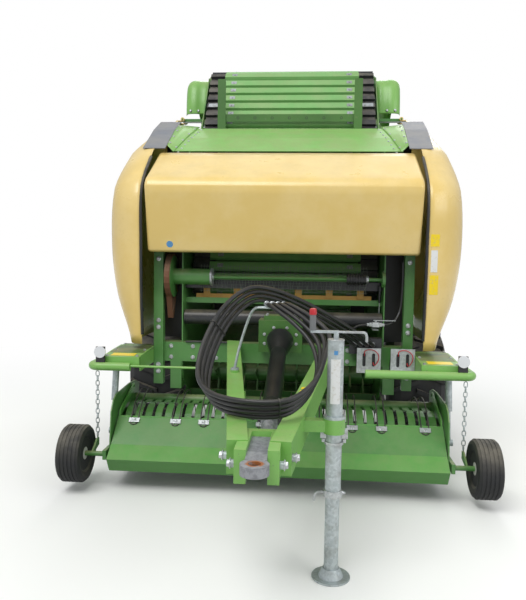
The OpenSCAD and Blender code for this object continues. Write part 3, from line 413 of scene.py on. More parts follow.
# Rubber and plastic pieces. Belts are dull and near black, tyres duller and browned by soil, the flaps
# matt mid grey, and the shaft's guard satin black and clean.
belt_rubber = rubber("rubberised_belt_vulcanised", "#26272B", "#3A3B3D", 0.62, 0.45)
tyre_rubber = rubber("tyre_tread_rubber_moulded", "#1F2022", "#34342F", 0.72, 0.4)
flap_rubber = rubber("grey_rubber_sheet_calendered", "#74777E", "#86898E", 0.6, 0.3)
guard_plastic = rubber("polyethylene_guard_moulded", "#15171B", "#1D1F23", 0.38, 0.04)
dress(belt_rubber, "front_belts", "rear_belts")
dress(tyre_rubber, "tyre_left", "tyre_right")
guide_s, guide_z = 1530, 235
for side_name in ("left", "right"):
    paint("guide_wheel_" + side_name,
          (pale_enamel, lambda x, s, z: math.hypot(s - guide_s, z - guide_z) < 104), (tyre_rubber, None))
dress(flap_rubber, "flap_left", "flap_right")
dress(guard_plastic, "shaft_guard")
# Reflectors are glossy white and lamps glossy deep red, each set in dull black housings; chocks are
# plated plates with black moulded wedges.
white_plastic = rubber("acrylic_reflector_moulded", "#E6E8EA", "#D4D6D6", 0.25, 0.1)
black_plastic = rubber("polypropylene_moulded_black", "#1D1E20", "#2C2D2F", 0.45, 0.4)
lamp_lens = rubber("polycarbonate_lens_moulded_red", "#A3141C", "#8E1219", 0.14, 0.15)
paint("reflectors", (white_plastic, lambda x, s, z: s < 1620.6), (black_plastic, None))
paint("wheel_chocks",
      (black_plastic, lambda x, s, z: 1914 < s < 1916 and abs(abs(x - 720) - 114) < 50 and 785 < z < 885),
      (plated, lambda x, s, z: s < 1915.2), (black_plastic, lambda x, s, z: s < 2029.5 and z > 749),
      (green_enamel, None))
paint("rear_lamps", (lamp_lens, lambda x, s, z: s > 4618.5), (black_plastic, None))
# The net-wrap gear has ochre tabs and a brown fibrous brake strap; the jack's grip is soft mid grey with
# a bright red cap.
tab_rubber = rubber("ochre_rubber_sheet_cut", "#A8813C", "#8E6E3A", 0.7, 0.3)
strap_lining = rubber("woven_brake_lining_glued", "#6B4630", "#7F5A42", 0.8, 0.3)
grip_plastic = rubber("soft_grip_moulded_grey", "#6E7072", "#7E8082", 0.55, 0.3)
red_plastic = rubber("polyethylene_moulded_red", "#C2202C", "#A51E28", 0.4, 0.15)
net_s, net_z, jack_x, jack_s = 2118, 1374, 325, 572
paint("net_wrap",
      (strap_lining, lambda x, s, z: -826.5 < x < -788.5 and math.hypot(s - net_s, z - net_z) > 147.5),
      (black_enamel, lambda x, s, z: 454 < x < 592 and math.hypot(s - net_s, z - net_z) < 36
       or s > 2185 and (z > 1290.5 or s > 2200.2)),
      (tab_rubber, lambda x, s, z: s > 2185), (green_enamel, None))
paint("jack_crank", (red_plastic, lambda x, s, z: z > 1280), (grip_plastic, lambda x, s, z: z > 1190.5),
      (zinc, None))
paint("drawbar", (zinc, lambda x, s, z: s < 252 and abs(x) > (139.0 if s > 190 else 92.5) and 672 < z < 708),
      (zinc, lambda x, s, z: math.hypot(x - jack_x, s - jack_s) < 50), (bright_enamel, None))

# Hood: one sheet folded round a soft edge over two drawn side walls, enamelled cream. It swings up on
# its upper rear edge and carries a small round sticker.


def grid_skin(rows, capped=False):
    work = bmesh.new()
    made = [[work.verts.new(point) for point in row] for row in rows]
    for low, high in zip(made, made[1:]):
        for k in range(len(low) - 1):
            work.faces.new((low[k], low[k + 1], high[k + 1], high[k]))
    if capped:
        work.faces.new(made[-1])
    return work


def thicken(made, thickness, offset):
    sheet = made.modifiers.new("sheet", "SOLIDIFY")
    sheet.thickness, sheet.offset = thickness / 1000, offset
    return made


def arc_points(centre, radius, first, last, count):
    return [(centre[0] + radius * math.cos(math.radians(first + (last - first) * i / count)),
             centre[1] + radius * math.sin(math.radians(first + (last - first) * i / count)))
            for i in range(count + 1)]


def between(a, b, share):
    return tuple(p + (q - p) * share for p, q in zip(a, b))


hood_x, hood_edge, hood_top = 930, 26, (2222, 2275)
lip, bend = arc_points((1914, 1572), 24, 280, 188, 7), arc_points((1898, 1971), 100, 170, 122, 9)
hood_line = (lip + [between(lip[-1], bend[0], k / 8) for k in range(1, 8)] + bend
             + [between(bend[-1], hood_top, k / 8) for k in range(1, 9)])
rows = []
for i, (s, z) in enumerate(hood_line):
    (s0, z0), (s1, z1) = hood_line[max(0, i - 1)], hood_line[min(len(hood_line) - 1, i + 1)]
    size = math.hypot(s1 - s0, z1 - z0)
    inward = ((z1 - z0) / size, -(s1 - s0) / size)
    back = between((1990, 1548), (2242, 2195), i / (len(hood_line) - 1))
    half = []
    for k in range(6):
        turn = math.radians(18 * k)
        deep = hood_edge * (1 - math.sin(turn))
        half.append((hood_x - hood_edge * (1 - math.cos(turn)), s + inward[0] * deep, z + inward[1] * deep))
    rim = half[0]
    wall = [(hood_x, rim[1] + (back[0] - rim[1]) * k / 3, rim[2] + (back[1] - rim[2]) * k / 3)
            for k in (3, 2, 1)]
    flat = [((hood_x - hood_edge) * (1 - k / 8), s, z) for k in range(1, 9)]
    half = wall + half + flat
    rows.append([at(*q) for q in half] + [at(-x, s, z) for x, s, z in half[-2::-1]])
hood_skin = finish_mesh("hood_sheet", grid_skin(rows), cream_enamel, "hood_body", 40.0)
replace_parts(thicken(hood_skin, 5, -1.0), "hood")

# Side covers: deep-drawn sheet with a wide rounded front corner, a wheel arch, a back wall and a small
# top. They hang from two hinge barrels, and a black rubber profile is pushed on the front edge.
# Columns: height, front edge, widest place, depth of the corner
cover_levels = [(905, 1900, 1062, 90), (1250, 1868, 1190, 230), (1600, 1856, 1250, 320),
                (2000, 1880, 1238, 330), (2290, 2200, 1195, 300), (2500, 2603, 1130, 260),
                (2620, 2889, 1070, 200), (2690, 3062, 1010, 120)]
cover_in, cover_rear, cover_low, arch_top, cover_top = 966, 3272, 905, 1250, 2690
wheel_s, wheel_z, arch_r = 3320, 470, 565


def level_at(height):
    i = next(i for i in range(len(cover_levels) - 1) if height <= cover_levels[i + 1][0] + 1e-6)
    a, b = cover_levels[max(0, i - 1)], cover_levels[i]
    c, d = cover_levels[i + 1], cover_levels[min(len(cover_levels) - 1, i + 2)]
    t = (height - b[0]) / (c[0] - b[0])
    return [(2 * b[j] + (c[j] - a[j]) * t + (2 * a[j] - 5 * b[j] + 4 * c[j] - d[j]) * t * t
             + (3 * b[j] - a[j] - 3 * c[j] + d[j]) * t ** 3) / 2 for j in range(1, 4)]


heights = [low[0] + (high[0] - low[0]) * k / 5 for low, high in zip(cover_levels, cover_levels[1:])
           for k in range(5)]
for sign, side_name in ((1, "left"), (-1, "right")):
    body = "side_" + side_name
    rows = []
    for height in heights + [cover_top]:
        front_s, wide, deep = level_at(height)
        places = [(front_s + deep * (1 - math.cos(math.radians(7.5 * k))), math.sin(math.radians(7.5 * k)))
                  for k in range(13)]
        start = front_s + deep
        places += [(start + (cover_rear - start) * k / 18, 1.0) for k in range(1, 19)]
        places += [(cover_rear, 1 - k / 4) for k in range(1, 5)]
        row = []
        for s, share in places:
            z = height
            if s > wheel_s - arch_r and height < arch_top:
                low = max(cover_low, wheel_z + math.sqrt(max(0.0, arch_r ** 2 - (s - wheel_s) ** 2)))
                z = low + (arch_top - low) * (height - cover_low) / (arch_top - cover_low)
            across = level_at(z)[1]
            row.append(at(sign * (cover_in + (across - cover_in) * share), s, z))
        rows.append(row)
    skin = finish_mesh("side_cover_" + side_name, grid_skin(rows, True), cream_enamel, body,
                       40.0)
    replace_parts(thicken(skin, 6, -1.0), "cover_" + side_name)
    hinges = bmesh.new()
    for s in (3072, 3190):
        add_tube(hinges, [at(sign * 935, s + 38 * k / 2, 2700) for k in range(3)], 0.016, 20)
        bmesh.ops.create_cube(hinges, size=1.0, matrix=Matrix.Translation(at(sign * 958, s + 19, 2686))
                              @ Matrix.Diagonal((0.046, 0.038, 0.008, 1.0)))
    finish_mesh("cover_hinges_" + body, hinges, cream_enamel, body)
    seal = bmesh.new()
    edge = [at(sign * (cover_in - 3), level_at(z)[0] + 4, z) for z in heights if 940 < z < 2270]
    add_tube(seal, edge, 0.011, 8)
    finish_mesh("cover_seal_" + body, seal, black_plastic, body)

# Pickup reel: tine bars of steel tube between flame-cut discs, each with double-coil spring tines
# of hard-drawn wire. The coils are wound on the bar and the legs trail behind the turn.


def add_lathe(work, base, axis, profile, sides=16):
    heading = Vector(axis).normalized()
    across = heading.orthogonal().normalized()
    other = heading.cross(across)
    rings = []
    for reach, radius in profile:
        centre = Vector(base) + heading * reach / 1000
        rings.append([work.verts.new(centre + radius / 1000 * (math.cos(math.tau * k / sides) * across
                                                               + math.sin(math.tau * k / sides) * other))
                      for k in range(sides)])
    for low, high in zip(rings, rings[1:]):
        for k in range(sides):
            work.faces.new((low[k], low[(k + 1) % sides], high[(k + 1) % sides], high[k]))
    work.faces.new(rings[0][::-1])
    work.faces.new(rings[-1])


reel_s, reel_z, tine_rows, tine_count, pickup_x, bar_at = 1940, 288, 5, 30, 1085, 105
tine_pitch, coil_r = 2 * (pickup_x - 20) / (tine_count + 1), 20
reel, centre = bmesh.new(), at(0, reel_s, reel_z)
# The wire is painted satin black and rubbed brown by the crop.
wire_steel = rubber("hard_drawn_spring_wire_painted", "#222325", "#3B332B", 0.45, 0.3)
for row in range(tine_rows):
    turned = math.radians(360 / tine_rows * row + 20)
    out = Vector((0, -math.sin(turned), math.cos(turned)))
    back = Vector((0, -math.cos(turned), -math.sin(turned)))
    add_lathe(reel, centre + out * bar_at / 1000 - Vector((1.075, 0, 0)), (1, 0, 0),
              [(0, 15), (2150, 15)], 12)
    for i in range(1, tine_count + 1):
        x = -pickup_x + 20 + i * tine_pitch
        inward = 1 if i % 2 else -1
        wire = []
        for k in range(24):
            turn = math.tau * k / 10
            coil = out * (bar_at + coil_r * math.cos(turn + 1.9)) + back * coil_r * math.sin(turn + 1.9)
            wire.append(centre + Vector((x + inward * (4 + 7 * (23 - k) / 10), 0, 0)) / 1000 + coil / 1000)
        for reach, trail in ((128, 20), (165, 17), (200, 8), (225, -4), (238, -14)):
            wire.append(centre + Vector((x, 0, 0)) / 1000 + (out * reach + back * -trail) / 1000)
        add_tube(reel, wire, 0.0032, 5)
for x in (-1075, -304, 296, 1067):
    add_lathe(reel, at(x, reel_s, reel_z), (1, 0, 0), [(0, 150), (0.5, 152), (7.5, 152), (8, 150)], 48)
add_lathe(reel, at(-1084, reel_s, reel_z), (1, 0, 0),
          [(0, 19), (9, 19), (9.5, 44), (2158, 44), (2159, 19), (2168, 19)], 20)
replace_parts(finish_mesh("reel_with_tines", reel, wire_steel, "reel"), "pickup_reel")

# Crop press: U-shaped spring wires that lie over the reel. A plated clamp with one bolt holds each to
# the top edge of the crop guard.
clamps, wires = bmesh.new(), bmesh.new()
rest_line = [(1683, 409), (1722, 450), (1800, 515), (1880, 555), (1965, 570), (2050, 556), (2112, 512)]
axes = (Vector((1, 0, 0)), Vector((0, 1, 0)), Vector((0, 0, 1)))
off_guard = Vector((0, -0.679, 0.734))
guard_axes = (axes[0], Vector((0, 0.734, 0.679)), off_guard)


def add_block(work, centre, sizes, bevel=1.0, sides=axes):
    made = bmesh.ops.create_cube(work, size=1.0)["verts"]
    for vertex in made:
        vertex.co = centre + sum((a * vertex.co[i] * sizes[i] / 1000 for i, a in enumerate(sides)), Vector())
    edges = list({e for v in made for e in v.link_edges})
    bmesh.ops.bevel(work, geom=edges, offset=bevel / 1000, segments=1, affect="EDGES", profile=0.5)


# A domed head, or a hexagon head on a washer.
def add_fastener(work, place, axis, radius, domed=False):
    if domed:
        add_lathe(work, place, axis, [(-1, radius), (0.12 * radius, radius), (0.4 * radius, 0.82 * radius),
                                      (0.58 * radius, 0.45 * radius), (0.62 * radius, 0.1 * radius)], 12)
    else:
        add_lathe(work, place, axis, [(-1, 1.4 * radius), (0.2 * radius, 1.4 * radius),
                                      (0.26 * radius, 1.3 * radius)], 16)
        add_lathe(work, place, axis, [(0, radius), (0.85 * radius, radius), (radius, 0.84 * radius)], 6)


for x in (-960, -680, -490, -300, -105, 105, 300, 490, 680, 960):
    centre = at(x, 1696.3, 416.2)
    add_block(clamps, centre + off_guard * 0.008, (72, 34, 4), sides=guard_axes)
    add_block(clamps, centre + off_guard * 0.003, (18, 34, 7), sides=guard_axes)
    add_fastener(clamps, centre + off_guard * 0.0098, off_guard, 9)
    left_leg, right_leg = (smooth([at(x + side, s, z) for s, z in rest_line]) for side in (-24, 24))
    loop_end = [at(x - 17, 1674, 401), at(x, 1670, 397), at(x + 17, 1674, 401)]
    add_tube(wires, left_leg[::-1] + loop_end + right_leg, 0.0042, 6)
finish_mesh("crop_press_clamps", clamps, plated, "guard")
finish_mesh("crop_press_wires", wires, wire_steel, "guard")

# Bolts and nuts: zinc-plated steel, hexagon heads on washers. They hold the posts, platforms, gearbox,
# wheels, pickup bearings and the tailgate's edge.
# Columns: group, body, radius in mm, direction (None is outward along x), places as x, s, z
front, rise = (0, -1, 0), (0, 0, 1)


def mirrored(places):
    return [(sign * x, s, z) for sign in (-1, 1) for x, s, z in places]


def plate_top(s):
    return 851 + (14 * (s - 1665) / 235 if s < 1900 else 14 + 6 * (s - 1900) / 240)


def ring_of(x, s, z, radius, count, turned=0.0):
    return [(x, s + radius * math.cos(math.tau * k / count + turned),
             z + radius * math.sin(math.tau * k / count + turned)) for k in range(count)]


groups = [
    ("post_bolts", "root", 12, front,
     mirrored([(884, 2040, z) for z in (690, 740, 1010, 1060, 1500, 1860, 2080)])),
    ("platform_bolts", "root", 9, rise,
     mirrored([(x, s, plate_top(s)) for x in (940, 1145) for s in (1690, 1880, 2100)])),
    ("member_bolts", "root", 11, front,
     mirrored([(x, 2080, z) for x in (470, 640, 800) for z in (790, 870)])),
    ("gearbox_cover_bolts", "root", 8, rise, mirrored([(98, s, 1120) for s in (1945, 1995, 2045)])),
    ("gearbox_flange_bolts", "root", 8, front,
     [(118 * math.cos(math.tau * k / 8 + 0.4), 1905, 962 + 84 * math.sin(math.tau * k / 8 + 0.4))
      for k in range(8)]),
    ("eye_bolt_heads", "root", 16, None,
     [(110, 130, 690), (-110, 130, 690), (155, 230, 690), (-155, 230, 690)]),
    ("chock_bolts", "root", 7, front, [(x + dx, 1905, 760) for x in (606, 834) for dx in (-60, 60)]),
    ("hub_nuts_left", "wheel_left", 12, None, ring_of(1191, wheel_s, wheel_z, 92, 6)),
    ("hub_nuts_right", "wheel_right", 12, None, ring_of(-1191, wheel_s, wheel_z, 92, 6)),
    ("pickup_bearing_bolts", "pickup", 9, None, mirrored(ring_of(1093, reel_s, reel_z, 52, 4, 0.8))),
    ("tailgate_edge_bolts", "tailgate_body", 10, None,
     mirrored([(740, s, z) for s, z in ((3450, 2990), (3800, 2960), (4200, 2680), (4440, 2200), (4500, 1700),
                                        (4440, 1300), (4200, 900), (3800, 760), (3460, 850))])),
]
for name, body, radius, direction, places in groups:
    work = bmesh.new()
    for x, s, z in places:
        add_fastener(work, at(x, s, z), direction or (math.copysign(1, x), 0, 0), radius)
    finish_mesh(name, work, plated, body)

# Guide wheels' tyres and hubs: five moulded rings round the tread, and a black plastic cap pressed
# into the hub.
for sign, body in ((1, "guide_left"), (-1, "guide_right")):
    ribs = bmesh.new()
    for offset in (-50, -25, 0, 25, 50):
        add_lathe(ribs, at(sign * (1375 - 77.5) + offset, guide_s, guide_z), (1, 0, 0),
                  [(-9, 178), (-8, 183.5), (8, 183.5), (9, 178)], 60)
    finish_mesh("tread_ribs_" + body, ribs, tyre_rubber, body)
    cap = bmesh.new()
    add_lathe(cap, at(sign * 1357, guide_s, guide_z), (sign, 0, 0),
              [(-14, 34), (0, 34), (6, 30), (9, 20), (9.5, 4)], 24)
    finish_mesh("hub_cap_" + body, cap, black_plastic, body)

# Jack's lower collar with its locking pin: a bent round bar through both tubes, zinc plated, as are the
# cap on top of the tube and the crank's flat arm.
collar = bmesh.new()
add_lathe(collar, at(jack_x, jack_s, 398), rise, [(0, 38.4), (0.5, 44), (33, 44), (34, 38.4)], 32)
add_tube(collar, smooth([at(x, jack_s, z) for x, z in (
    (385, 416), (jack_x, 416), (262, 416), (246, 410), (240, 396), (236, 372))], 4), 0.006, 10)
add_lathe(collar, at(368, jack_s, 416), (1, 0, 0), [(0, 9), (8, 9)], 6)
add_lathe(collar, at(jack_x, jack_s, 1147.5), rise, [(-3, 40.5), (0, 41), (3, 38), (3.2, 14)], 32)
add_block(collar, at(392, jack_s, 1184), (130, 15, 10))
add_tube(collar, [at(x, jack_s, z) for x, z in ((452, 1184), (462, 1178), (466, 1162), (466, 1140))],
         0.007, 10)
finish_mesh("jack_collar_and_pin", collar, plated, "root")

# Stickers and labels: printed polyester film, left blank, satin and faded in worn spots of 17 mm. They
# lie on the paint and follow its curve.


def film(name, colour):
    material = begin(name)
    worn = add(material, "TexNoise", {"Scale": 1000 / 17, "Detail": 5.0,
                                      "Vector": add(material, "TexCoord", {}, "Object")}, "Fac")
    worn = add(material, "MapRange", {**eased, "From Min": 0.5, "From Max": 0.72, "Value": worn}, "Result")
    worn = add(material, "Math", {**product, 0: worn, 1: 0.4}, "Value")
    tone = add(material, "Mix", {**rgba, 0: worn, 6: colour, 7: "#B7AE98"}, 2)
    return end(material, add(material, "BsdfPrincipled", {
        "Roughness": 0.35, "IOR": 1.5, "Base Color": tone}, "BSDF"))


yellow_film, white_film, blue_film = (film("polyester_film_printed_" + n, c) for n, c in
                                      (("yellow", "#F5D51C"), ("white", "#E4E5E3"), ("blue", "#4F8FC4")))


def cover_point(x, z, lift):
    front_s, wide, deep = level_at(z)
    share = (x - cover_in) / (wide - cover_in)
    return at(x, front_s + deep * (1 - math.sqrt(1 - share * share)) - lift, z)


for name, x0, x1, z0, z1, material in (
        ("sticker_upper", 985, 1045, 1610, 1690, yellow_film),
        ("sticker_middle", 990, 1035, 1440, 1585, white_film),
        ("sticker_lower", 985, 1045, 1290, 1420, yellow_film)):
    rows = [[cover_point(x0 + (x1 - x0) * i / 4, z0 + (z1 - z0) * k / 4, 0.9) for i in range(5)]
            for k in range(5)]
    finish_mesh(name, grid_skin(rows), material, "side_left", 60.0)
dot = bmesh.new()
add_lathe(dot, at(-768, 1882.6, 1602), (0, -0.9772, -0.2123), [(-3, 23), (0.7, 23)], 28)
finish_mesh("round_sticker", dot, blue_film, "hood_body")
for sign in (-1, 1):
    rows = [[at(sign * x, s, plate_top(s) + 0.9) for x in (965, 1125)] for s in (1695, 1775)]
    finish_mesh("platform_film_%d" % (sign > 0), grid_skin(rows), yellow_film, "root", 60.0)
turns = [math.radians(-125 + 7 * k) for k in range(11)]
for name, radius, wrapped, levels, material in (
        ("jack_label", 38.8, turns, (850, 950, 1060), white_film),
        ("jack_badge", 39.2, turns[3:8], (1080, 1100), blue_film)):
    rows = [[at(jack_x + radius * math.cos(a), jack_s + radius * math.sin(a), z) for a in wrapped]
            for z in levels]
    finish_mesh(name, grid_skin(rows), material, "root", 60.0)

# Wings of the deflector: green sheet riveted on its slanted ends; they reach under the grey flaps. One
# more row of domed rivets runs along the plate beside each wing.
rivets, slope = bmesh.new(), (0, -0.45, 0.89)
for sign in (-1, 1):
    rows = []
    for k in range(9):
        s = 2296 + 534 * k / 8
        deflector_z = 2300 + (s - 2320) * 140 / 240 if s < 2560 else 2440 + (s - 2560) * 0.5
        flap_z = (2306 + (s - 2230) * 0.5227 if s < 2640 else 2520.3 + (s - 2640) * 0.4041) + 0.6
        inner, outer = min(862, 860 - 100 * (s - 2300) / 530) - 22, 882.5 + 36 * (s - 2200) / 800
        low, high = at(sign * inner, s, deflector_z + 7.5), at(sign * outer, s, flap_z + 2)
        rows.append([low, low.lerp(high, 0.12), low.lerp(high, 0.56), high])
        if k % 2:
            for share in (0.1, 0.86):
                add_fastener(rivets, low.lerp(high, share) + Vector((0, 0, 0.002)), slope, 10, True)
        add_fastener(rivets, at(sign * (inner - 36), s, deflector_z + 5.6), slope, 9, True)
    thicken(finish_mesh("deflector_wing_%d" % (sign > 0), grid_skin(rows), bright_enamel, "root",
                        60.0), 4, 0.0)
finish_mesh("deflector_rivets", rivets, plated, "root")

# Shields behind the side covers: black moulded sheets screwed to the chamber walls ahead of the wheels.
# They are dull and shut off the view past the walls.
shields = bmesh.new()
for sign in (-1, 1):
    for s, high_z in ((2330, 2190), (2560, 2400)):
        add_block(shields, at(sign * 837, s, (905 + high_z) / 2), (222, 5, high_z - 905))
finish_mesh("side_shields", shields, black_plastic, "root")

# Net and net-wrap gear: knitted polyethylene net, thin, pale and matt, hangs from its roller. The gear
# has a finned black knob, plated rings on the hub and a gas strut.
net = bmesh.new()
for k in range(56):
    x = -600 + 1200 * k / 55
    lean = 9 * math.sin(k * 2.3)
    add_tube(net, [at(x, 2176, 1462), at(x + lean, 2172, 1380), at(x - lean, 2178, 1300),
                   at(x, 2180, 1262)], 0.0013, 4)
for k in range(9):
    z = 1272 + 22 * k
    add_tube(net, [at(-600 + 80 * i, 2175, z + 3 * math.sin(i * 1.7 + k)) for i in range(16)], 0.0009, 4)
net_yarn = rubber("polyethylene_net_knitted", "#7B8478", "#969C8E", 0.6, 0.2)
finish_mesh("net_threads", net, net_yarn, "root")
knob = bmesh.new()
for k in range(7):
    rim = 44 - abs(k - 3)
    add_lathe(knob, at(462 + 19 * k, net_s, net_z), (1, 0, 0), [(-1, 33), (0, rim), (9, rim), (10, 33)], 24)
finish_mesh("finned_knob", knob, black_plastic, "root")
rings = bmesh.new()
add_lathe(rings, at(-519, net_s, net_z), (1, 0, 0),
          [(-1, 61), (0, 64), (14, 64), (16, 60), (16.5, 30), (22, 29), (22, 16)], 28)
add_lathe(rings, at(592, net_s, net_z), (1, 0, 0), [(-2, 24), (0, 26), (16, 26), (18, 18)], 18)
strut_low = at(694, 2165, 1120)
lift = at(694, 2135, 1330) - strut_low
add_lathe(rings, strut_low, lift, [(0, 4), (lift.length * 450, 4)], 10)
finish_mesh("hub_rings", rings, plated, "root")
strut = bmesh.new()
add_lathe(strut, strut_low + lift * 0.42, lift,
          [(0, 9), (3, 10), (lift.length * 560, 10), (lift.length * 575, 5)], 14)
finish_mesh("gas_strut", strut, black_enamel, "root")

# Hydraulic fittings: zinc-plated ports and crimped ferrules at the valve block, a shut-off valve with
# a lever on its bracket, and thin black lines clipped along the cross member and up the post.
fittings, lines = bmesh.new(), bmesh.new()
for i in range(len(hoses)):
    port = at(510 + port_step * i, 2000, 930)
    add_lathe(fittings, port, front,
              [(-1, 17), (5, 17), (6, 14), (14, 14), (15, 13.5), (52, 13.5), (54, 12.4)], 6)
    add_lathe(fittings, port + Vector((0, -0.016, 0)), front, [(0, 14.6), (34, 14.6), (36, 12.4)], 18)
shut = at(650, 1950, 1072)
add_block(fittings, shut, (52, 34, 34), 3.0)
for sign in (-1, 1):
    add_lathe(fittings, shut + Vector((sign * 0.025, 0, 0)), (sign, 0, 0),
              [(0, 15), (16, 15), (17, 11), (34, 11), (34, 9)], 6)
add_lathe(fittings, shut, rise, [(16, 8), (26, 8), (27, 5)], 12)
add_block(fittings, shut + Vector((0.06, 0, 0.03)), (150, 16, 5))
add_block(fittings, shut + Vector((0.0, 0.035, -0.036)), (40, 70, 4), 0.5)
for points in (
        [shut + Vector((-0.055, 0, 0)), shut + Vector((-0.12, 0.0, -0.012)), at(470, 1965, 1020),
         at(440, 1985, 985), at(452, 2010, 950), at(482, 2030, 940)],
        [shut + Vector((0.055, 0, 0)), at(745, 1955, 1080), at(790, 1985, 1110), at(822, 2012, 1180),
         at(834, 2022, 1320), at(834, 2026, 1500)]):
    add_tube(lines, smooth(points, 5), 0.008, 10)
for x in (-1, 1):
    add_tube(lines, smooth([at(x * 690, 2072, 905), at(x * 600, 2070, 908), at(x * 420, 2068, 907),
                            at(x * 300, 2072, 905)], 5), 0.007, 8)
finish_mesh("hydraulic_fittings", fittings, plated, "root")
finish_mesh("hydraulic_lines", lines, hose_rubber, "root")

# Rear covers: moulded sheet over the tailgate's edge, with a joggle along it and an outer edge turned
# down round a wide radius. Two domed bolts hold each front end.
# The run goes from the front end over the top and down the back, as s, z.
cover_run = smooth([at(0, s, z) for s, z in (
    (3296, 2795), (3306, 2930), (3350, 3070), (3460, 3128), (3700, 3112), (4010, 3010), (4320, 2790),
    (4540, 2400), (4630, 1850), (4560, 1300))], 6)
section = [(741, 8), (792, 8), (843, 8), (851, 2), (890, 2)] + [
    (890 + 66 * math.sin(math.radians(15 * k)), 2 + 66 * (1 - math.cos(math.radians(15 * k))))
    for k in range(1, 7)]
bolts = bmesh.new()
for sign in (-1, 1):
    rows = []
    for i, point in enumerate(cover_run):
        along = (cover_run[min(len(cover_run) - 1, i + 1)] - cover_run[max(0, i - 1)]).normalized()
        inward = Vector((0, along.z, -along.y))
        rows.append([point + inward * deep / 1000 + Vector((sign * x / 1000, 0, 0)) for x, deep in section])
    cover = finish_mesh("rear_cover_%d" % (sign > 0), grid_skin(rows), bright_enamel, "tailgate_body",
                        40.0)
    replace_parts(thicken(cover, 4, 0.0), "tailgate_covers")
    for x, s in ((838, 3302.5), (908, 3296.5)):
        add_fastener(bolts, at(sign * x, s, 2822), (0, -1, 0.06), 13, True)
finish_mesh("rear_cover_bolts", bolts, plated, "tailgate_body")

# Slat clips: each elevator slat is held by a zinc-plated clip and a bolt near both ends, and each
# front belt is joined by a plate with two bolts.


# The middle of each slat's outer face and the way it faces, taken from the node's separate solids.
def slat_tops(name):
    work = bmesh.new()
    work.from_mesh(node[name].data)
    work.transform(node[name].matrix_world)
    bmesh.ops.remove_doubles(work, verts=work.verts, dist=0.0001)
    seen, tops = set(), []
    for start in work.faces:
        if start.index in seen:
            continue
        island, queue = [], [start]
        seen.add(start.index)
        while queue:
            face = queue.pop()
            island.append(face)
            for edge in face.edges:
                for other in edge.link_faces:
                    if other.index not in seen:
                        seen.add(other.index)
                        queue.append(other)
        outward = max(island, key=lambda face: face.calc_area()).normal.copy()
        places = {vertex.index: vertex.co.copy() for face in island for vertex in face.verts}.values()
        reach = max(place.dot(outward) for place in places)
        upper = [place for place in places if place.dot(outward) > reach - 0.001]
        tops.append((sum(upper, Vector()) / len(upper), outward))
    work.free()
    return tops


for name, body in (("front_slats", "root"), ("rear_slats", "tailgate_body")):
    clips = bmesh.new()
    tops = slat_tops(name)
    for centre, outward in tops:
        way = (axes[0], axes[0].cross(outward), outward)
        for sign in (-1, 1):
            place = Vector((sign * 0.492, centre.y, centre.z))
            add_block(clips, place + outward * 0.0008, (44, 30, 2.4), 0.6, way)
            add_lathe(clips, place, outward, [(1.5, 8), (7, 8), (8, 6.5)], 6)
    if body == "root":
        centre, outward = min(tops, key=lambda top: abs(top[0].z - 2.757) + (0 if top[1].y < 0 else 9))
        way = (axes[0], axes[0].cross(outward), outward)
        for sign in (-1, 1):
            place = Vector((sign * 0.6375, centre.y, centre.z))
            add_block(clips, place + outward * 0.0015, (96, 36, 3.4), sides=way)
            for dx in (-0.022, 0.022):
                add_lathe(clips, place + Vector((dx, 0, 0)), outward, [(2, 9), (6, 8), (7, 4)], 12)
    finish_mesh("clips_" + name, clips, plated, body)

# Cross bar between the two flat bars: flat steel welded in and enamelled dark green, with a row of
# punched holes shown as black plugs.
bar_work, plugs = bmesh.new(), bmesh.new()
add_block(bar_work, at(0, 2812, 2652), (1176, 6, 62))
for x in range(-420, 421, 140):
    add_lathe(plugs, at(x, 2810, 2652), front, [(0, 11), (1.6, 11), (1.6, 8), (0.8, 8)], 16)
finish_mesh("guide_cross_bar", bar_work, dark_enamel, "root")
finish_mesh("cross_bar_plugs", plugs, black_plastic, "root")

# Feed channel floor: bent sheet, enamelled dark green, welded between the chamber walls behind the
# rotor. It shuts the view through the bottom of the chamber.
pan_line = smooth([at(0, s, z) for s, z in (
    (2850, 456), (2880, 505), (2920, 576), (3000, 648), (3120, 738), (3230, 826), (3322, 906))])
rows = [[point + Vector((x / 1000, 0, 0)) for x in (-716, -358, 0, 358, 716)] for point in pan_line]
thicken(finish_mesh("feed_channel_floor", grid_skin(rows), dark_enamel, "root", 60.0),
        5, 0.0)

# Chock cords: red braided cord, matt from its weave, that loops through both slots of each plate. The
# crank's grip ends in a cap of the same red.
cords = bmesh.new()
for x in (606, 834):
    add_tube(cords, smooth([at(x + dx, s, z) for dx, s, z in (
        (-30, 1913, 862), (-30, 1902, 874), (-29, 1900, 893), (-8, 1899, 905), (28, 1898, 903),
        (58, 1898, 882), (67, 1899, 848), (52, 1899, 812), (36, 1901, 800), (31, 1906, 810),
        (31, 1913, 818))], 4), 0.0028, 8)
finish_mesh("chock_cords", cords, red_plastic, "root")
grip = bmesh.new()
add_lathe(grip, at(jack_x - 110, jack_s, 1262), rise, [(0, 15.1), (0.6, 17), (22, 17), (29, 14), (31, 7)], 24)
finish_mesh("crank_grip_cap", grip, red_plastic, "root")

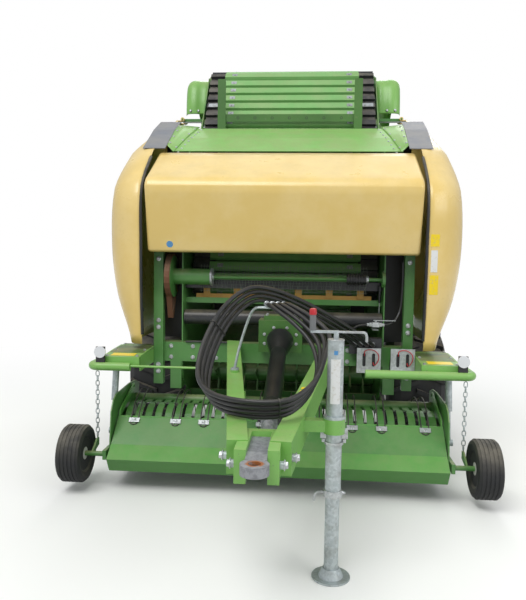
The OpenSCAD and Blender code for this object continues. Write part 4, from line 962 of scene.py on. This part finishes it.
# Bearing housings on the outside of the walls: cast flanges with a greased cap and four bolts; the
# tailgate's plates have radial stiffeners of folded sheet welded on.
pivot = Vector((0, 3340, 2760))
for body, wall, places in (
        ("tailgate_body", 740,
         ((3800, 2800), (4260, 2500), (4420, 1950), (4350, 1350), (4000, 960), (3560, 1000))),
        ("root", 724, ((2480, 1330), (2975, 2590)))):
    casts, heads = bmesh.new(), bmesh.new()
    for sign in (-1, 1):
        for s, z in places:
            add_block(casts, at(sign * (wall + 4), s, z), (10, 104, 104), 3.0)
            add_lathe(casts, at(sign * (wall + 8), s, z), (sign, 0, 0),
                      [(0, 46), (14, 42), (18, 36), (19, 12)], 28)
            for ds in (-38, 38):
                for dz in (-38, 38):
                    add_fastener(heads, at(sign * (wall + 9.5), s + ds, z + dz), (sign, 0, 0), 7)
        if body == "tailgate_body":
            for s, z in ((3640, 1090), (4130, 1130), (4330, 1560), (4330, 2130)):
                heading = (Vector((0, s, z)) - pivot).normalized()
                reach = (Vector((0, s, z)) - pivot).length
                middle = pivot + heading * (260 + reach - 40) / 2
                add_block(casts, at(sign * (wall + 5), middle.y, middle.z), (12, reach - 300, 56), 4.0,
                          (axes[0], heading, heading.cross(axes[0])))
            add_lathe(casts, at(sign * 739, pivot.y, pivot.z), (sign, 0, 0),
                      [(0, 60), (5, 60), (6, 57), (6, 24)], 32)
    finish_mesh("housings_" + body, casts, green_enamel, body, 30.0)
    finish_mesh("housing_bolts_" + body, heads, plated, body)

# Oil pipes of the tailgate cylinders: galvanised steel tube between two unions on the barrel. The wheel
# hubs have black grease caps and the side covers black moulded handles.
for sign, side_name in ((1, "left"), (-1, "right")):
    start, end_point = at(sign * 800, 3060, 1250), at(sign * 800, 3560, 2560)
    heading = (end_point - start).normalized()
    beside_it = Vector((0, -heading.z, heading.y))
    pipe = bmesh.new()
    for reach in (0.07, 0.80):
        add_lathe(pipe, start + heading * reach + beside_it * 0.03, beside_it,
                  [(0, 12), (22, 12), (23, 9)], 12)
    add_tube(pipe, smooth([start + heading * reach + beside_it * off for reach, off in (
        (0.80, 0.048), (0.76, 0.056), (0.70, 0.056), (0.22, 0.056), (0.14, 0.056), (0.10, 0.060))], 4),
             0.006, 10)
    finish_mesh("cylinder_pipe_" + side_name, pipe, zinc, "gate_barrel_" + side_name)
    cap = bmesh.new()
    add_lathe(cap, at(sign * 1205, wheel_s, wheel_z), (sign, 0, 0),
              [(0, 52), (20, 50), (27, 42), (29, 16)], 32)
    finish_mesh("hub_cap_wheel_" + side_name, cap, black_plastic, "wheel_" + side_name)
    handle = bmesh.new()
    face_x = level_at(1080)[1]
    add_block(handle, at(sign * (face_x + 1), 2420, 1080), (14, 190, 54), 5.0)
    add_block(handle, at(sign * (face_x + 9), 2420, 1080), (14, 130, 18), 4.0)
    finish_mesh("cover_handle_" + side_name, handle, black_plastic, "side_" + side_name)

# Small things: yellow marks on the drawbar's left arm, two ties round the hose bundle, crimped ends on
# the hoses at their holder, and two round red reflectors on the tailgate's bar.
for i, (s0, s1) in enumerate(((850, 885), (905, 940), (960, 995))):
    rows = [[at(92 + 0.1353 * (s - 210) + x, s + 0.45 * x, 690 + 0.08289 * (s - 210) + 76.4 + 0.0373 * x)
             for x in (-34, 34)] for s in (s0, s1)]
    finish_mesh("drawbar_mark_%d" % i, grid_skin(rows), yellow_film, "root", 60.0)
ties = bmesh.new()
for place in (52, 74):
    first, last = hoses[0][place], hoses[3][place]
    heading = (hoses[0][place + 1] - hoses[0][place - 1]).normalized()
    across = (last - first) - (last - first).dot(heading) * heading
    across.normalize()
    other = heading.cross(across)
    band = []
    for k in range(24):
        a = math.tau * (k + 0.5) / 24
        end_centre = last if math.cos(a) > 0 else first
        band.append(end_centre - (end_centre - first).dot(heading) * heading
                    + (across * math.cos(a) + other * math.sin(a)) * 0.0145)
    add_tube(ties, band, 0.0032, 6, closed=True)
finish_mesh("hose_ties", ties, black_plastic, "root")
ends = bmesh.new()
for line in hoses:
    heading = (line[-1] - line[-2]).normalized()
    add_lathe(ends, line[-1] - heading * 0.03, heading, [
        (0, 13), (2, 14.5), (34, 14.5), (36, 17), (52, 17), (54, 12), (70, 12), (72, 9)], 12)
finish_mesh("hose_ends", ends, plated, "root")
lenses = bmesh.new()
for x in (-600, 600):
    add_lathe(lenses, at(x, 4599, 1950), (0, 1, 0), [(0, 36), (6, 36), (9, 31), (10, 12)], 28)
finish_mesh("rear_reflectors", lenses, lamp_lens, "tailgate_body")

# Edge of the crop guard, plates on the platforms and the jack's lugs: flat bar and sheet, welded on.
# The edge is enamelled leaf green, the plates dark green, and the lugs are zinc plated.
edge_bar = bmesh.new()
add_block(edge_bar, at(0, 1722, 435), (2126, 12, 12), 2.0)
finish_mesh("crop_guard_edge", edge_bar, guard_enamel, "guard")
for sign in (-1, 1):
    rows = [[at(sign * x, s, plate_top(s) + 1.3) for x in (928, 1160)]
            for s in (1790, 1845, 1900, 1980, 2060, 2135)]
    finish_mesh("platform_plate_%d" % (sign > 0), grid_skin(rows), dark_enamel, "root",
                60.0)
lugs = bmesh.new()
add_lathe(lugs, at(jack_x, jack_s, 652), rise, [(0, 38), (1, 46), (13, 46), (14, 38)], 32)
for sign in (-1, 1):
    add_block(lugs, at(jack_x + sign * 50, 566, 704), (30, 5, 52), 1.5)
    add_block(lugs, at(jack_x + sign * 48, jack_s, 668), (18, 16, 18), 2.0)
    add_fastener(lugs, at(jack_x + sign * 52, 563.5, 716), front, 8)
finish_mesh("jack_lugs", lugs, plated, "root")

size = {"cad": [list(v) for v in cad_box], "visual": [list(v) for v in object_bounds()]}
